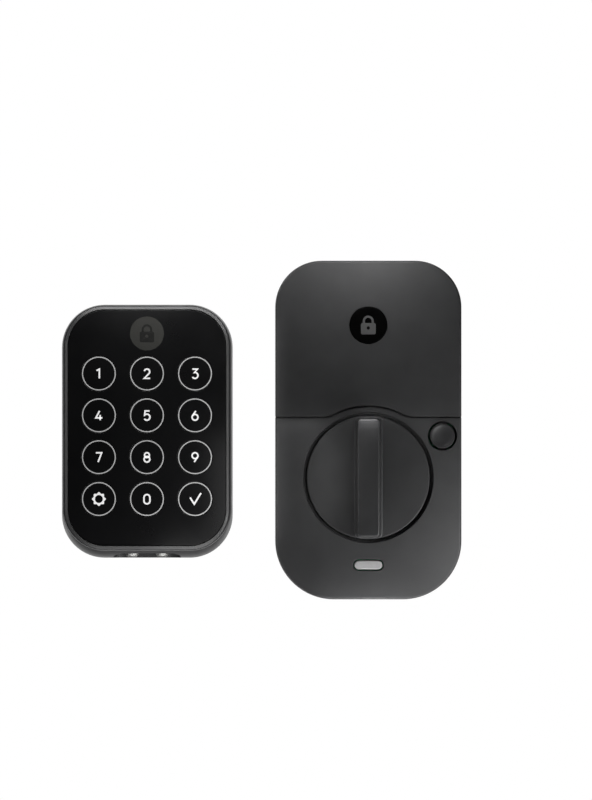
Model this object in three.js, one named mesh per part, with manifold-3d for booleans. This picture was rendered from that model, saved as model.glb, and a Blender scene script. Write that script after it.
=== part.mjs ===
// Keypad smart lock, in millimetres and +Z up: the outside keypad and the inside lock
// module of one deadbolt, laid side by side with both fronts facing -Y and both backs
// on the door plane y = 0. Each unit is drawn in its own front view, x to the right,
// y up and z off the door, and its group turns that view upright.
import * as THREE from "three";
import { mergeVertices } from "three/addons/utils/BufferGeometryUtils.js";
import Module from "manifold-3d";

const wasm = await Module();
wasm.setup();

// ---- Driving dimensions -------------------------------------------------------------

const FIT_GAP = 0.3; // clearance between neighbouring pieces
const RUNNING_GAP = 0.1; // clearance round a turning pin
const CORNER_STEPS = 6; // segments in each rounded corner
const SIDES = { stem: 6, screw: 8, small: 12, shaft: 16, key: 18, medium: 20, round: 24, large: 48 };
const FAR = 120; // beyond every edge of a unit
const THROUGH = [-FAR, FAR]; // a cutter's reach when it goes right through a piece
const OVERLAP = 1; // how far joined bodies run into each other

// Outside keypad. Each pair is a lowest and a highest distance off the door.
const KEYPAD = { width: 68.5, height: 101.6, corner: 17.2, offsetX: -88.6, offsetY: -0.55 };
const KEYPAD_Z = {
  seal: [0, 0.9], backPlate: [1.2, 2.8], housing: [1.2, 17.4], bezel: [17.7, 20.9],
  panel: [18.5, 20.5], board: [10.2, 11.8], domes: [11.9, 12.3], lightGuide: [14.2, 15.7],
  socket: [5.2, 9.9],
};
const CHIN_DROP = 2.8; // how far the housing's foot stands below the front rim
const CAVITY = { side: 2.55, top: 2.4, foot: 5.2 }; // the housing's walls, front to back
const PANEL_EDGE = { side: 2.72, top: 2.3, foot: 5.15 };
const BEZEL_LEDGE = { width: 1.2, z: 18.2 }; // the ledge that the front panel rests on
const PANEL_GAP = 0.2; // between the panel and the bezel round it
const KEY = {
  radius: 6.85, holeRadius: 7.1, proud: 0.1, flangeRadius: 7.8, flangeZ: [16.8, 18.2],
  stemRadius: 1.3, stemZ: [13.6, 17],
};
const KEY_PITCH = { x: 19.25, y: 16.75 };
const KEY_TOP_ROW_Y = 23.15; // above the keypad's centre
const LIGHT_GUIDE = { inset: 0.8, holeRadius: 2.2 };
const DOME = { inset: 3, footRadius: 2.6, crownRadius: 1.6, rise: 0.35, sink: 0.1 };
const CONTACT = {
  pitch: 12.04, radius: 2.65, z: 11.6, depth: 3.5, pocketHalf: 13.5, pocketZ: [3.6, 15.2],
  pocketCorner: 4.5, pocketDepth: 8, pinRadius: 1.2, pinReach: 3, blockReach: 0.6,
};
// The stud's dome: shares of its radius and distances behind the keypad's foot.
const STUD_DOME = [[0, 0.1], [0.55, 0.25], [0.88, 0.7], [1, 1.5]];
const KEYPAD_BOARD = { inset: 0.5, notchMargin: 1, notchDepth: 2.2, postGap: 0.6 };
const FIXING = {
  spacing: 38, boreRadius: 1.9, postRadius: 4, postReach: 12, postTop: 8, shoulder: 1,
  neckRadius: 3, flangeRadius: 4.4, flangeFoot: 3.1,
};
const KEYPAD_BORE_Y = -8; // the door's cross bore, below the keypad's centre
const KEYPAD_WINDOW = { y: 8, height: 8, corner: 1.5 };
const SEAL = { outerInset: 1, innerInset: 5.5 };
const SOCKET = { width: 14, height: 7, wall: 1, roof: 1.2, pinMargin: 2.4, pinHeight: 1 };

// Inside module
const LOCK = { width: 74.4, height: 135.3, topCorner: 18.6, footCorner: 23.4, depth: 33 };
const SPINDLE_Y = -18.98; // the thumbturn's axis, below the module's centre
const SEAM = { y: 5.14, gap: 0.5, humpRadius: 28.64, filletRadius: 11 };
const SHELL = { coverWall: 1.6, coverFront: 2, lowerWall: 2, lowerFront: 2.2, back: 0.8 };
// The rounded front edge: distances behind the front and how far it is drawn in there.
const FRONT_EDGE = [[1.5, 0], [0.75, 0.2], [0.2, 0.75], [0, 1.5]];
const BULKHEAD = { y: [2.9, 4.9], footZ: 9.4 }; // between the gears and the batteries
const WELL = {
  radius: 25.1, ledgeRadius: 26.05, ledgeZ: 31.5, outerRadius: 27.4, floor: [26.6, 28], hubHole: 8.2,
};
const KNOB = {
  radius: 24.55, z: [28.4, 33.4], edge: 0.5, gripReach: 24.45, gripCorner: 1.4,
  bossRadius: 7.6, bossFoot: 24.4, socketTop: 31.3, screwHole: 1.6, screwTop: 34.6,
};
// The grip's heights off the door, with its width and its length at each.
const GRIP_SECTIONS = [
  [32.4, 11.5, 48.2], [33.6, 11.5, 48.2], [34.4, 10.1, 47.6], [46.05, 8.9, 46.9], [46.4, 8.2, 46.2],
];
const BUTTON = {
  x: 29.6, y: -2.34, radius: 5, holeRadius: 5.8, foot: 29.6, top: 33.2, edge: 0.3, rim: 0.9,
  dishRadius: 3.2, dishDrop: 0.7, dish: 1, barZ: [29.3, 30.4], barHalfWidth: 1.7,
  barHalfLength: 6.4, stemRadius: 1.4, stemZ: [28.8, 30],
};
// Clears the upper end of the bar that holds the button in.
const BAR_RELIEF = { halfWidth: 2.3, y: [2, 4.4], foot: 27.4 };
const LIGHT = {
  y: -53.9, length: 11.1, height: 3.5, frame: 0.55, z: [28, 33.05], flange: 1.3,
  flangeZ: [29.2, 30.5],
};
const BADGE = { y: 41.9, radius: 7.55, z: [32.5, 33.1], seatGap: 0.15 };
const KEYPAD_BADGE = { y: 39.2, radius: 6.8, z: [19.9, 20.55] };
const CELL = {
  radius: 7, length: 49.5, nub: 1, nubRadius: 2.6, shoulder: 1, pitch: 14.6, bottomY: 8.6, z: 20.4,
};
const LOCK_Z = {
  plate: [0, 1.6], base: [2.2, 4.2], board: [24.6, 26.2], driveGears: [20.2, 23.8],
  motorGears: [16.2, 19.4], motor: [4.6, 15.6], tray: [10.8, 12], socket: [19.4, 24.3],
};
const HUB = {
  radius: 8, z: [4.6, 20], seatRadius: 6.9, seatHalf: 6.1, seatTop: 24, squareTop: 31,
  socketTop: 13.5, screwHeadRadius: 3.4, screwHeadTop: 17, screwRadius: 1.7,
};
const DRIVE_SQUARE = { side: 8.6, gap: 0.15 }; // the square that the hub turns the thumbturn by
const KNOB_SCREW = { headRadius: 3.1, headZ: [14.4, 16.8], radius: 1.45, top: 34 };
const GEAR = {
  mainTeeth: 32, smallTeeth: 8, module: 1.25, largeTeeth: 24, pinionTeeth: 8, fineModule: 1,
  pressureDegrees: 25, backlash: 0.16, tip: 0.8, root: 1.02, hubRadius: 3.6, seatGap: 0.12,
};
const GEAR_PIN = { radius: 1.25, z: [4.4, 24.2] };
const REDUCTION_DEGREES = -60; // where the reduction gear lies about the thumbturn
const MOTOR_DEGREES = 190; // where the motor lies about the reduction gear
const MOTOR = {
  radius: 6, chamfer: 0.4, noseRadius: 2.2, shoulder: 0.5, boreRadius: 1.1, shaftRadius: 0.9,
  shaftFoot: 14,
};
const TAILPIECE = { width: 7, thickness: 2.2, reach: 45, headSide: 7, headZ: [5, 13] };
const CABLE_WINDOW = { halfWidth: 9, y: [-11.2, -3.6], corner: 1.5 };
const BOLT_SLOT = { width: 8, height: 4.8, corner: 2.3, accessRadius: 5.4 };
const PLATE = { inset: 3.4, hubHole: 7 };
const BASE = {
  inset: 2.3, rim: 1.4, rimTop: 9, hubBossRadius: 11, hubBore: 8.3, tailHole: 6, boreFoot: 4.3,
  pinBossRadius: 3.2, pinBossTop: 15.6, motorBossRadius: 8, motorBossTop: 9.5, motorBore: 6.3,
};
const MODULE_SCREW = {
  x: 21.9, y: 34, z: [0.2, 7.6], radius: 1.45, headRadius: 3, headFoot: 5.7, headRim: 6.9,
  crownRadius: 2.2, plateHole: 1.75, baseHole: 1.8, bossRadius: 3.6, bossTop: 5.4,
  accessRadius: 3.8,
};
const BOARD = {
  side: 34.4, foot: -64.8, top: 2.4, footCorner: 20.6, topCorner: 2, hubHole: 9,
  switchHalf: 2.2, switchRise: 0.8, plungerRadius: 1.6, plungerRise: 1.4,
};
const BOARD_POST = { x: 25, y: -49, radius: 1.8 };
const LED = { halfWidth: 1.6, halfHeight: 0.8, rise: 0.7 };
const TRAY = {
  half: 31, y: [5.4, 62.6], inset: 3, endWall: 1.1, endTop: 24, ribHalf: 1, ribRise: 3,
  sideX: 30, sideHalf: 0.8, sideTop: 17,
};
const SPRING = {
  turns: 2, steps: 18, wire: 0.35, wireSides: 5, footRadius: 4.4, taper: 2, gap: 0.15, sink: 0.2,
};
const CONTACT_PLATE = { thickness: 0.5, margin: 0.2, halfWidth: 4.9, below: 5, above: 3.2 };
const NETWORK = {
  half: 12, y: [20, 54], z: [4.8, 9.6], plugHalf: 8, plugY: [16.5, 20.5], plugZ: [5.4, 8.4],
};

// ---- Solid helpers ------------------------------------------------------------------

// A closed three.js geometry as a manifold-3d solid, turned to face outwards.
function solid(geometry) {
  const bare = geometry.index ? geometry.toNonIndexed() : geometry.clone();
  bare.deleteAttribute("normal");
  bare.deleteAttribute("uv");
  const merged = mergeVertices(bare, 1e-4);
  const vertProperties = merged.attributes.position.array;
  const triVerts = new Uint32Array(merged.index.array);
  const made = new wasm.Manifold(new wasm.Mesh({ numProp: 3, vertProperties, triVerts }));
  if (made.volume() > 0) return made;
  triVerts.reverse();
  return new wasm.Manifold(new wasm.Mesh({ numProp: 3, vertProperties, triVerts }));
}

function geometryOf(body) {
  const mesh = body.getMesh();
  return new THREE.BufferGeometry()
    .setAttribute("position", new THREE.BufferAttribute(new Float32Array(mesh.vertProperties), 3))
    .setIndex(new THREE.BufferAttribute(new Uint32Array(mesh.triVerts), 1));
}

const join = (first, ...others) => others.reduce((sum, next) => sum.add(next), first);
const cut = (first, ...others) => others.reduce((rest, next) => rest.subtract(next), first);

// From a height, or a distance, to beyond every piece.
const from = (start) => [start, FAR];

// A flat outline raised between two heights.
function raised(points, [z0, z1]) {
  const shape = new THREE.Shape(points);
  return solid(
    new THREE.ExtrudeGeometry(shape, { depth: z1 - z0, bevelEnabled: false }).translate(0, 0, z0),
  );
}

// An outline drawn in x and z, and carried along y.
function raisedAlongY(points, [y0, y1]) {
  const shape = new THREE.Shape(points);
  return solid(
    new THREE.ExtrudeGeometry(shape, { depth: y1 - y0, bevelEnabled: false })
      .rotateX(Math.PI / 2)
      .translate(0, y1, 0),
  );
}

function block(x0, x1, y0, y1, z0, z1) {
  return solid(
    new THREE.BoxGeometry(x1 - x0, y1 - y0, z1 - z0).translate(
      (x0 + x1) / 2, (y0 + y1) / 2, (z0 + z1) / 2,
    ),
  );
}

// A round rod standing on the door plane's normal.
function rod(radius, [z0, z1], x = 0, y = 0, segments = SIDES.round) {
  return solid(
    new THREE.CylinderGeometry(radius, radius, z1 - z0, segments)
      .rotateX(Math.PI / 2)
      .translate(x, y, (z0 + z1) / 2),
  );
}

// A profile of [radius, z] pairs turned about a line through x, y.
function turned(profile, segments, x = 0, y = 0) {
  const points = profile.map(([r, z]) => new THREE.Vector2(r, z));
  return solid(new THREE.LatheGeometry(points, segments).rotateX(Math.PI / 2).translate(x, y, 0));
}

// A profile of [radius, y] pairs turned about a line along y through x, z.
function turnedAlongY(profile, segments, x, z) {
  const points = profile.map(([r, y]) => new THREE.Vector2(r, y));
  return solid(new THREE.LatheGeometry(points, segments).translate(x, 0, z));
}

// A closed body through outlines that all have the same number of points.
function loft(sections) {
  const count = sections[0].points.length;
  const positions = sections.flatMap(({ points, z }) => points.flatMap((p) => [p.x, p.y, z]));
  const faces = [];
  for (let s = 0; s + 1 < sections.length; s++) {
    for (let i = 0; i < count; i++) {
      const a = s * count + i;
      const b = s * count + ((i + 1) % count);
      faces.push(a, b, b + count, a, b + count, a + count);
    }
  }
  const last = (sections.length - 1) * count;
  for (const [a, b, c] of THREE.ShapeUtils.triangulateShape(sections[0].points, []))
    faces.push(c, b, a);
  for (const [a, b, c] of THREE.ShapeUtils.triangulateShape(sections.at(-1).points, []))
    faces.push(last + a, last + b, last + c);
  const geometry = new THREE.BufferGeometry();
  geometry.setAttribute("position", new THREE.Float32BufferAttribute(positions, 3));
  geometry.setIndex(faces);
  return solid(geometry);
}

// ---- Outlines -----------------------------------------------------------------------

// Points of an arc, both ends included.
function arc(cx, cy, radius, start, end, steps) {
  return Array.from({ length: steps + 1 }, (_, i) => {
    const angle = start + ((end - start) * i) / steps;
    return new THREE.Vector2(cx + radius * Math.cos(angle), cy + radius * Math.sin(angle));
  });
}

// A rectangle with one radius for its two foot corners and one for its two top corners.
function roundedOutline({ left, right, bottom, top, footR, topR, steps = CORNER_STEPS }) {
  const quarter = Math.PI / 2;
  return [
    ...arc(right - footR, bottom + footR, footR, -quarter, 0, steps),
    ...arc(right - topR, top - topR, topR, 0, quarter, steps),
    ...arc(left + topR, top - topR, topR, quarter, 2 * quarter, steps),
    ...arc(left + footR, bottom + footR, footR, 2 * quarter, 3 * quarter, steps),
  ];
}

function centredOutline(width, height, radius, x = 0, y = 0, steps = CORNER_STEPS) {
  return roundedOutline({
    left: x - width / 2, right: x + width / 2, bottom: y - height / 2, top: y + height / 2,
    footR: radius, topR: radius, steps,
  });
}

// The keypad's outline, drawn in by its own amount at the sides, the top and the foot.
function keypadOutline(side, top = side, foot = side) {
  const drawnIn = Math.max(side, 0);
  return roundedOutline({
    left: -KEYPAD.width / 2 + side, right: KEYPAD.width / 2 - side,
    bottom: -KEYPAD.height / 2 + foot, top: KEYPAD.height / 2 - top,
    footR: KEYPAD.corner - drawnIn, topR: KEYPAD.corner - drawnIn,
  });
}

// The lock module's outline, drawn in all round.
function lockOutline(inset, bottom = -LOCK.height / 2 + inset, top = LOCK.height / 2 - inset) {
  return roundedOutline({
    left: -LOCK.width / 2 + inset, right: LOCK.width / 2 - inset, bottom, top,
    footR: LOCK.footCorner - inset, topR: LOCK.topCorner - inset,
  });
}

// The seam between the two covers, from left to right: a level line that rises over the
// thumbturn on an arc about its axis, blended by a fillet each side.
function seamCurve(shift) {
  const { y, humpRadius, filletRadius } = SEAM;
  const filletY = y + filletRadius;
  const filletX = Math.sqrt((humpRadius + filletRadius) ** 2 - (filletY - SPINDLE_Y) ** 2);
  const towardsAxis = Math.atan2(SPINDLE_Y - filletY, filletX);
  const fromAxis = Math.atan2(filletY - SPINDLE_Y, -filletX);
  const quarter = Math.PI / 2;
  const blend = filletRadius - shift;
  return [
    ...arc(-filletX, filletY, blend, -quarter, towardsAxis, 4),
    ...arc(0, SPINDLE_Y, humpRadius + shift, fromAxis, Math.PI - fromAxis, 12),
    ...arc(filletX, filletY, blend, Math.PI - towardsAxis, Math.PI + quarter, 4),
  ];
}

function belowSeam(shift) {
  const level = SEAM.y + shift;
  return [
    new THREE.Vector2(-FAR, level), ...seamCurve(shift), new THREE.Vector2(FAR, level),
    new THREE.Vector2(FAR, -FAR), new THREE.Vector2(-FAR, -FAR),
  ].reverse();
}

function aboveSeam(shift) {
  const level = SEAM.y + shift;
  return [
    new THREE.Vector2(-FAR, level), ...seamCurve(shift), new THREE.Vector2(FAR, level),
    new THREE.Vector2(FAR, FAR), new THREE.Vector2(-FAR, FAR),
  ];
}

// An involute gear's outline with stub teeth, thinned a little for backlash. The first
// tooth is centred on angle turn.
function gearOutline(teeth, gearModule, turn) {
  const pressure = THREE.MathUtils.degToRad(GEAR.pressureDegrees);
  const pitchR = (teeth * gearModule) / 2;
  const baseR = pitchR * Math.cos(pressure);
  const tipR = pitchR + GEAR.tip * gearModule;
  const rootR = pitchR - GEAR.root * gearModule;
  const involute = (angle) => Math.tan(angle) - angle;
  const flankAt = (r) => involute(Math.acos(Math.min(1, baseR / r)));
  const halfAtPitch = Math.PI / (2 * teeth) - GEAR.backlash / (2 * pitchR);
  const halfAt = (r) => halfAtPitch + involute(pressure) - flankAt(r);
  const flank = [rootR, pitchR, tipR];
  const points = [];
  for (let i = 0; i < teeth; i++) {
    const centre = turn + (2 * Math.PI * i) / teeth;
    const rise = flank.map((r) => [r, centre - halfAt(r)]);
    const fall = flank.toReversed().map((r) => [r, centre + halfAt(r)]);
    for (const [r, angle] of [...rise, ...fall])
      points.push(new THREE.Vector2(r * Math.cos(angle), r * Math.sin(angle)));
  }
  return points;
}

const movedBy = (points, x, y) => points.map((p) => new THREE.Vector2(p.x + x, p.y + y));

// ---- Materials ----------------------------------------------------------------------

const finish = (color, roughness, metalness = 0) =>
  new THREE.MeshStandardMaterial({ color, roughness, metalness });

const MATERIALS = {
  blackPaint: finish(0x2e2e30, 0.45, 0.2),
  blackPlastic: finish(0x39393b, 0.5),
  glossBlack: finish(0x0b0b0c, 0.15),
  badge: finish(0x050505, 0.2),
  badgeGrey: finish(0x3a3936, 0.4),
  key: finish(0x101011, 0.25),
  rubber: finish(0x1a1a1a, 0.9),
  clear: finish(0xdfe6e8, 0.1),
  lens: finish(0xb4b4b4, 0.3),
  board: finish(0x14532d, 0.5),
  steel: finish(0x9a9ca0, 0.35, 0.9),
  nickel: finish(0xb9b9b4, 0.25, 1),
  brass: finish(0xb08d4a, 0.35, 0.9),
  gear: finish(0xe4e0d2, 0.5),
  chassis: finish(0x242426, 0.6),
  cell: finish(0x2b2d33, 0.3, 0.3),
  socket: finish(0xe9e6da, 0.5),
};

function piece(name, body, material) {
  const mesh = new THREE.Mesh(geometryOf(body), material);
  mesh.name = name;
  return mesh;
}

// ---- Outside keypad -----------------------------------------------------------------

// Each row of keys, top first, with the middle column on the centre line.
const KEY_ROWS = [["1", "2", "3"], ["4", "5", "6"], ["7", "8", "9"], ["settings", "0", "enter"]];
const keyPlaces = KEY_ROWS.flatMap((row, r) =>
  row.map((label, c) => ({
    label, x: (c - 1) * KEY_PITCH.x, y: KEY_TOP_ROW_Y - r * KEY_PITCH.y,
  })),
);

// How far the outer skin is drawn in at each height: side, top and foot.
const HOUSING_SKIN = [
  [KEYPAD_Z.housing[0], 0.3, 0.3, 0.3], [1.8, 0, 0, 0], [8, 0, 0, 0], [12, 0.05, 0.05, 0.7],
  [15.2, 0.2, 0.1, 1.85], [KEYPAD_Z.housing[1], 0.35, 0.2, CHIN_DROP],
];
const BEZEL_SKIN = [
  [KEYPAD_Z.bezel[0], 0.4, 0.25, 3.2], [19.9, 1.2, 0.6, 3.35], [20.6, 1.5, 0.82, 3.5],
  [KEYPAD_Z.bezel[1], 1.75, 1, 3.7],
];

const skin = (rows) =>
  loft(rows.map(([z, side, top, foot]) => ({ z, points: keypadOutline(side, top, foot) })));
const panelOutline = (grow) =>
  keypadOutline(PANEL_EDGE.side - grow, PANEL_EDGE.top - grow, PANEL_EDGE.foot - grow);
const cavityOutline = (inset) =>
  keypadOutline(CAVITY.side + inset, CAVITY.top + inset, CAVITY.foot + inset);

function pocketOutline(inset) {
  const [z0, z1] = CONTACT.pocketZ;
  const corner = CONTACT.pocketCorner - inset;
  return roundedOutline({
    left: -CONTACT.pocketHalf + inset, right: CONTACT.pocketHalf - inset,
    bottom: z0 + inset, top: z1 - inset, footR: corner, topR: corner, steps: 5,
  });
}

const keypadFootY = -KEYPAD.height / 2;
const cavityFootY = keypadFootY + CAVITY.foot;
const blockFaceY = keypadFootY + CONTACT.depth;

function keypadHousing() {
  return cut(
    skin(HOUSING_SKIN),
    raised(cavityOutline(0), THROUGH),
    raisedAlongY(pocketOutline(0), [-FAR, keypadFootY + CONTACT.pocketDepth]),
  );
}

function bezel() {
  return cut(
    skin(BEZEL_SKIN),
    raised(panelOutline(PANEL_GAP), from(BEZEL_LEDGE.z)),
    raised(panelOutline(-BEZEL_LEDGE.width), THROUGH),
  );
}

const badge = ({ radius, z, y }) => rod(radius, z, 0, y);
const badgeSeat = ({ radius, z, y }) =>
  rod(radius + BADGE.seatGap, from(z[0] - BADGE.seatGap), 0, y);

function frontPanel() {
  const holes = keyPlaces.map(({ x, y }) => rod(KEY.holeRadius, THROUGH, x, y, SIDES.key));
  return cut(raised(panelOutline(0), KEYPAD_Z.panel), ...holes, badgeSeat(KEYPAD_BADGE));
}

function key({ x, y }) {
  const top = KEYPAD_Z.panel[1] + KEY.proud;
  const [flangeFoot, flangeTop] = KEY.flangeZ;
  const cap = turned(
    [
      [0, flangeFoot], [KEY.flangeRadius, flangeFoot], [KEY.flangeRadius, flangeTop],
      [KEY.radius, flangeTop], [KEY.radius, top], [0, top],
    ],
    SIDES.key, x, y,
  );
  return join(cap, rod(KEY.stemRadius, KEY.stemZ, x, y, SIDES.stem));
}

function lightGuide() {
  const { holeRadius } = LIGHT_GUIDE;
  const holes = keyPlaces.map(({ x, y }) => rod(holeRadius, THROUGH, x, y, SIDES.stem));
  return cut(raised(cavityOutline(LIGHT_GUIDE.inset), KEYPAD_Z.lightGuide), ...holes);
}

function domeSheet() {
  const [z0, z1] = KEYPAD_Z.domes;
  const foot = z0 + DOME.sink;
  const crown = z1 + DOME.rise;
  const profile = [[0, foot], [DOME.footRadius, foot], [DOME.crownRadius, crown], [0, crown]];
  const domes = keyPlaces.map(({ x, y }) => turned(profile, SIDES.stem, x, y));
  return join(raised(cavityOutline(DOME.inset), [z0, z1]), ...domes);
}

const boltPlaces = [-FIXING.spacing / 2, FIXING.spacing / 2];
const boltClearance = (radius, y) =>
  boltPlaces.map((x) => rod(radius, THROUGH, x, y, SIDES.medium));

function keypadBoard() {
  const { inset, notchMargin, notchDepth, postGap } = KEYPAD_BOARD;
  const half = CONTACT.pocketHalf + notchMargin;
  const notch = block(-half, half, -FAR, cavityFootY + notchDepth, ...THROUGH);
  const posts = boltClearance(FIXING.flangeRadius + postGap, KEYPAD_BORE_Y);
  return cut(raised(cavityOutline(inset), KEYPAD_Z.board), notch, ...posts);
}

function keypadBackPlate() {
  const { y, height, corner } = KEYPAD_WINDOW;
  const window = centredOutline(2 * CABLE_WINDOW.halfWidth, height, corner, 0, y, 3);
  const posts = boltClearance(FIXING.neckRadius + FIT_GAP, KEYPAD_BORE_Y);
  return cut(
    raised(cavityOutline(FIT_GAP), KEYPAD_Z.backPlate),
    raised(window, THROUGH),
    ...posts,
  );
}

// A hollow post that stands into the door's bore and takes a through bolt, with a neck
// through the back plate and a flange behind it.
function mountingPost(x) {
  const { boreRadius, postRadius, postReach, postTop, shoulder } = FIXING;
  const { neckRadius, flangeRadius, flangeFoot } = FIXING;
  return turned(
    [
      [boreRadius, -postReach], [postRadius, -postReach], [postRadius, shoulder],
      [neckRadius, shoulder], [neckRadius, flangeFoot], [flangeRadius, flangeFoot],
      [flangeRadius, postTop], [boreRadius, postTop], [boreRadius, -postReach],
    ],
    SIDES.small, x, KEYPAD_BORE_Y,
  );
}

function contactBlock() {
  const plug = raisedAlongY(pocketOutline(FIT_GAP), [blockFaceY, cavityFootY + CONTACT.blockReach]);
  const bore = CONTACT.pinRadius + FIT_GAP;
  const pins = [-1, 1].map((side) =>
    turnedAlongY(
      [[0, -FAR], [bore, -FAR], [bore, FAR], [0, FAR]],
      SIDES.small, (side * CONTACT.pitch) / 2, CONTACT.z,
    ),
  );
  return cut(plug, ...pins);
}

// A domed stud for a nine-volt battery, standing a little inside the keypad's foot.
function contactStud(side) {
  const { radius, pinRadius, pinReach } = CONTACT;
  const collar = blockFaceY - FIT_GAP;
  const dome = STUD_DOME.map(([share, behind]) => [share * radius, keypadFootY + behind]);
  return turnedAlongY(
    [
      ...dome, [radius, collar], [pinRadius, collar], [pinRadius, blockFaceY + pinReach],
      [0, blockFaceY + pinReach],
    ],
    SIDES.shaft, (side * CONTACT.pitch) / 2, CONTACT.z,
  );
}

// A cable socket: an open-topped shroud whose mouth faces the door, with a pin block in it.
function cableSocket(x, y, [z0, z1]) {
  const { width, height, wall, roof, pinMargin, pinHeight } = SOCKET;
  const slab = (half, tall, low, high) => block(x - half, x + half, y - tall, y + tall, low, high);
  const mouth = slab(width / 2 - wall, height / 2 - wall, -FAR, z1 - roof);
  const pins = slab(width / 2 - pinMargin, pinHeight / 2, z0 + wall, z1 - roof / 2);
  return join(cut(slab(width / 2, height / 2, z0, z1), mouth), pins);
}

function keypadSeal() {
  return cut(
    raised(keypadOutline(SEAL.outerInset), KEYPAD_Z.seal),
    raised(keypadOutline(SEAL.innerInset), THROUGH),
  );
}

function keypadUnit() {
  const unit = new THREE.Group();
  unit.add(
    piece("keypad_housing", keypadHousing(), MATERIALS.blackPaint),
    piece("keypad_bezel", bezel(), MATERIALS.blackPaint),
    piece("front_panel", frontPanel(), MATERIALS.glossBlack),
    piece("keypad_badge", badge(KEYPAD_BADGE), MATERIALS.badgeGrey),
    piece("light_guide", lightGuide(), MATERIALS.clear),
    piece("dome_sheet", domeSheet(), MATERIALS.clear),
    piece("keypad_circuit_board", keypadBoard(), MATERIALS.board),
    piece("contact_block", contactBlock(), MATERIALS.chassis),
    piece("battery_contact_stud_left", contactStud(-1), MATERIALS.nickel),
    piece("battery_contact_stud_right", contactStud(1), MATERIALS.nickel),
    piece("keypad_back_plate", keypadBackPlate(), MATERIALS.chassis),
    piece("keypad_seal", keypadSeal(), MATERIALS.rubber),
    piece("mounting_post_left", mountingPost(boltPlaces[0]), MATERIALS.brass),
    piece("mounting_post_right", mountingPost(boltPlaces[1]), MATERIALS.brass),
    piece("keypad_cable_socket", cableSocket(0, KEYPAD_WINDOW.y, KEYPAD_Z.socket), MATERIALS.socket),
  );
  for (const place of keyPlaces) unit.add(piece("key_" + place.label, key(place), MATERIALS.key));
  unit.position.set(KEYPAD.offsetX, 0, KEYPAD.offsetY);
  unit.rotation.x = Math.PI / 2;
  return unit;
}

// ---- Inside module: covers ----------------------------------------------------------

// The whole module's outer skin, with its front edge rounded over.
function lockEnvelope() {
  const front = FRONT_EDGE.map(([behind, inset]) => ({
    z: LOCK.depth - behind, points: lockOutline(inset),
  }));
  return loft([{ z: SHELL.back, points: lockOutline(0) }, ...front]);
}

const lowerFrontZ = LOCK.depth - SHELL.lowerFront;

// The status light's round-ended outline, grown all round.
function pill(grow) {
  const height = LIGHT.height + 2 * grow;
  return centredOutline(LIGHT.length + 2 * grow, height, height / 2 - 0.05, 0, LIGHT.y, 4);
}

function barRelief() {
  const { halfWidth, y, foot } = BAR_RELIEF;
  return block(BUTTON.x - halfWidth, BUTTON.x + halfWidth, ...y, foot, lowerFrontZ);
}

function lowerCover() {
  const outer = lockEnvelope().intersect(raised(belowSeam(-SEAM.gap / 2), THROUGH));
  const insideX = LOCK.width / 2 - SHELL.lowerWall;
  const bay = raised(lockOutline(SHELL.lowerWall), [0, lowerFrontZ]).intersect(
    block(...THROUGH, -FAR, BULKHEAD.y[0], ...THROUGH),
  );
  const underBulkhead = block(-insideX, insideX, 0, FAR, 0, BULKHEAD.footZ);
  const behindHump = block(...THROUGH, BULKHEAD.y[1], FAR, 0, lowerFrontZ);
  const wellZ = [WELL.floor[0], LOCK.depth - OVERLAP];
  const well = rod(WELL.outerRadius, wellZ, 0, SPINDLE_Y, SIDES.large);
  const postZ = [LOCK_Z.board[1] + FIT_GAP, lowerFrontZ + OVERLAP];
  const boardPosts = [-BOARD_POST.x, BOARD_POST.x].map((x) =>
    rod(BOARD_POST.radius, postZ, x, BOARD_POST.y, SIDES.screw),
  );
  return cut(
    join(cut(outer, bay, underBulkhead, behindHump), well, ...boardPosts),
    rod(WELL.ledgeRadius, from(WELL.ledgeZ), 0, SPINDLE_Y, SIDES.large),
    rod(WELL.radius, from(WELL.floor[1]), 0, SPINDLE_Y, SIDES.large),
    rod(WELL.hubHole, from(WELL.floor[0] - OVERLAP), 0, SPINDLE_Y),
    rod(BUTTON.holeRadius, from(lowerFrontZ - OVERLAP), BUTTON.x, BUTTON.y),
    barRelief(),
    raised(pill(LIGHT.frame), from(lowerFrontZ - OVERLAP)),
  );
}

function batteryCover() {
  const outer = lockEnvelope().intersect(raised(aboveSeam(SEAM.gap / 2), THROUGH));
  const inside = raised(lockOutline(SHELL.coverWall, -FAR), [-FAR, LOCK.depth - SHELL.coverFront]);
  return cut(outer, inside, badgeSeat(BADGE));
}

// ---- Inside module: thumbturn, hub and gears ----------------------------------------

// The drive axes in the front view, from the thumbturn to the motor.
const mainToReduction = ((GEAR.mainTeeth + GEAR.smallTeeth) * GEAR.module) / 2;
const reductionToMotor = ((GEAR.largeTeeth + GEAR.pinionTeeth) * GEAR.fineModule) / 2;
const reductionAngle = THREE.MathUtils.degToRad(REDUCTION_DEGREES);
const motorAngle = THREE.MathUtils.degToRad(MOTOR_DEGREES);
const reductionAxis = {
  x: mainToReduction * Math.cos(reductionAngle),
  y: SPINDLE_Y + mainToReduction * Math.sin(reductionAngle),
};
const motorAxis = {
  x: reductionAxis.x + reductionToMotor * Math.cos(motorAngle),
  y: reductionAxis.y + reductionToMotor * Math.sin(motorAngle),
};

const squareAt = (half, [z0, z1]) =>
  block(-half, half, SPINDLE_Y - half, SPINDLE_Y + half, z0, z1);

// A bar across the thumbturn's face, hollowed at its foot and narrower at its top.
function thumbturnGrip() {
  const bar = loft(
    GRIP_SECTIONS.map(([z, width, length]) => ({
      z, points: centredOutline(width, length, KNOB.gripCorner, 0, SPINDLE_Y, 3),
    })),
  );
  return bar.intersect(rod(KNOB.gripReach, THROUGH, 0, SPINDLE_Y, SIDES.large));
}

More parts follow.
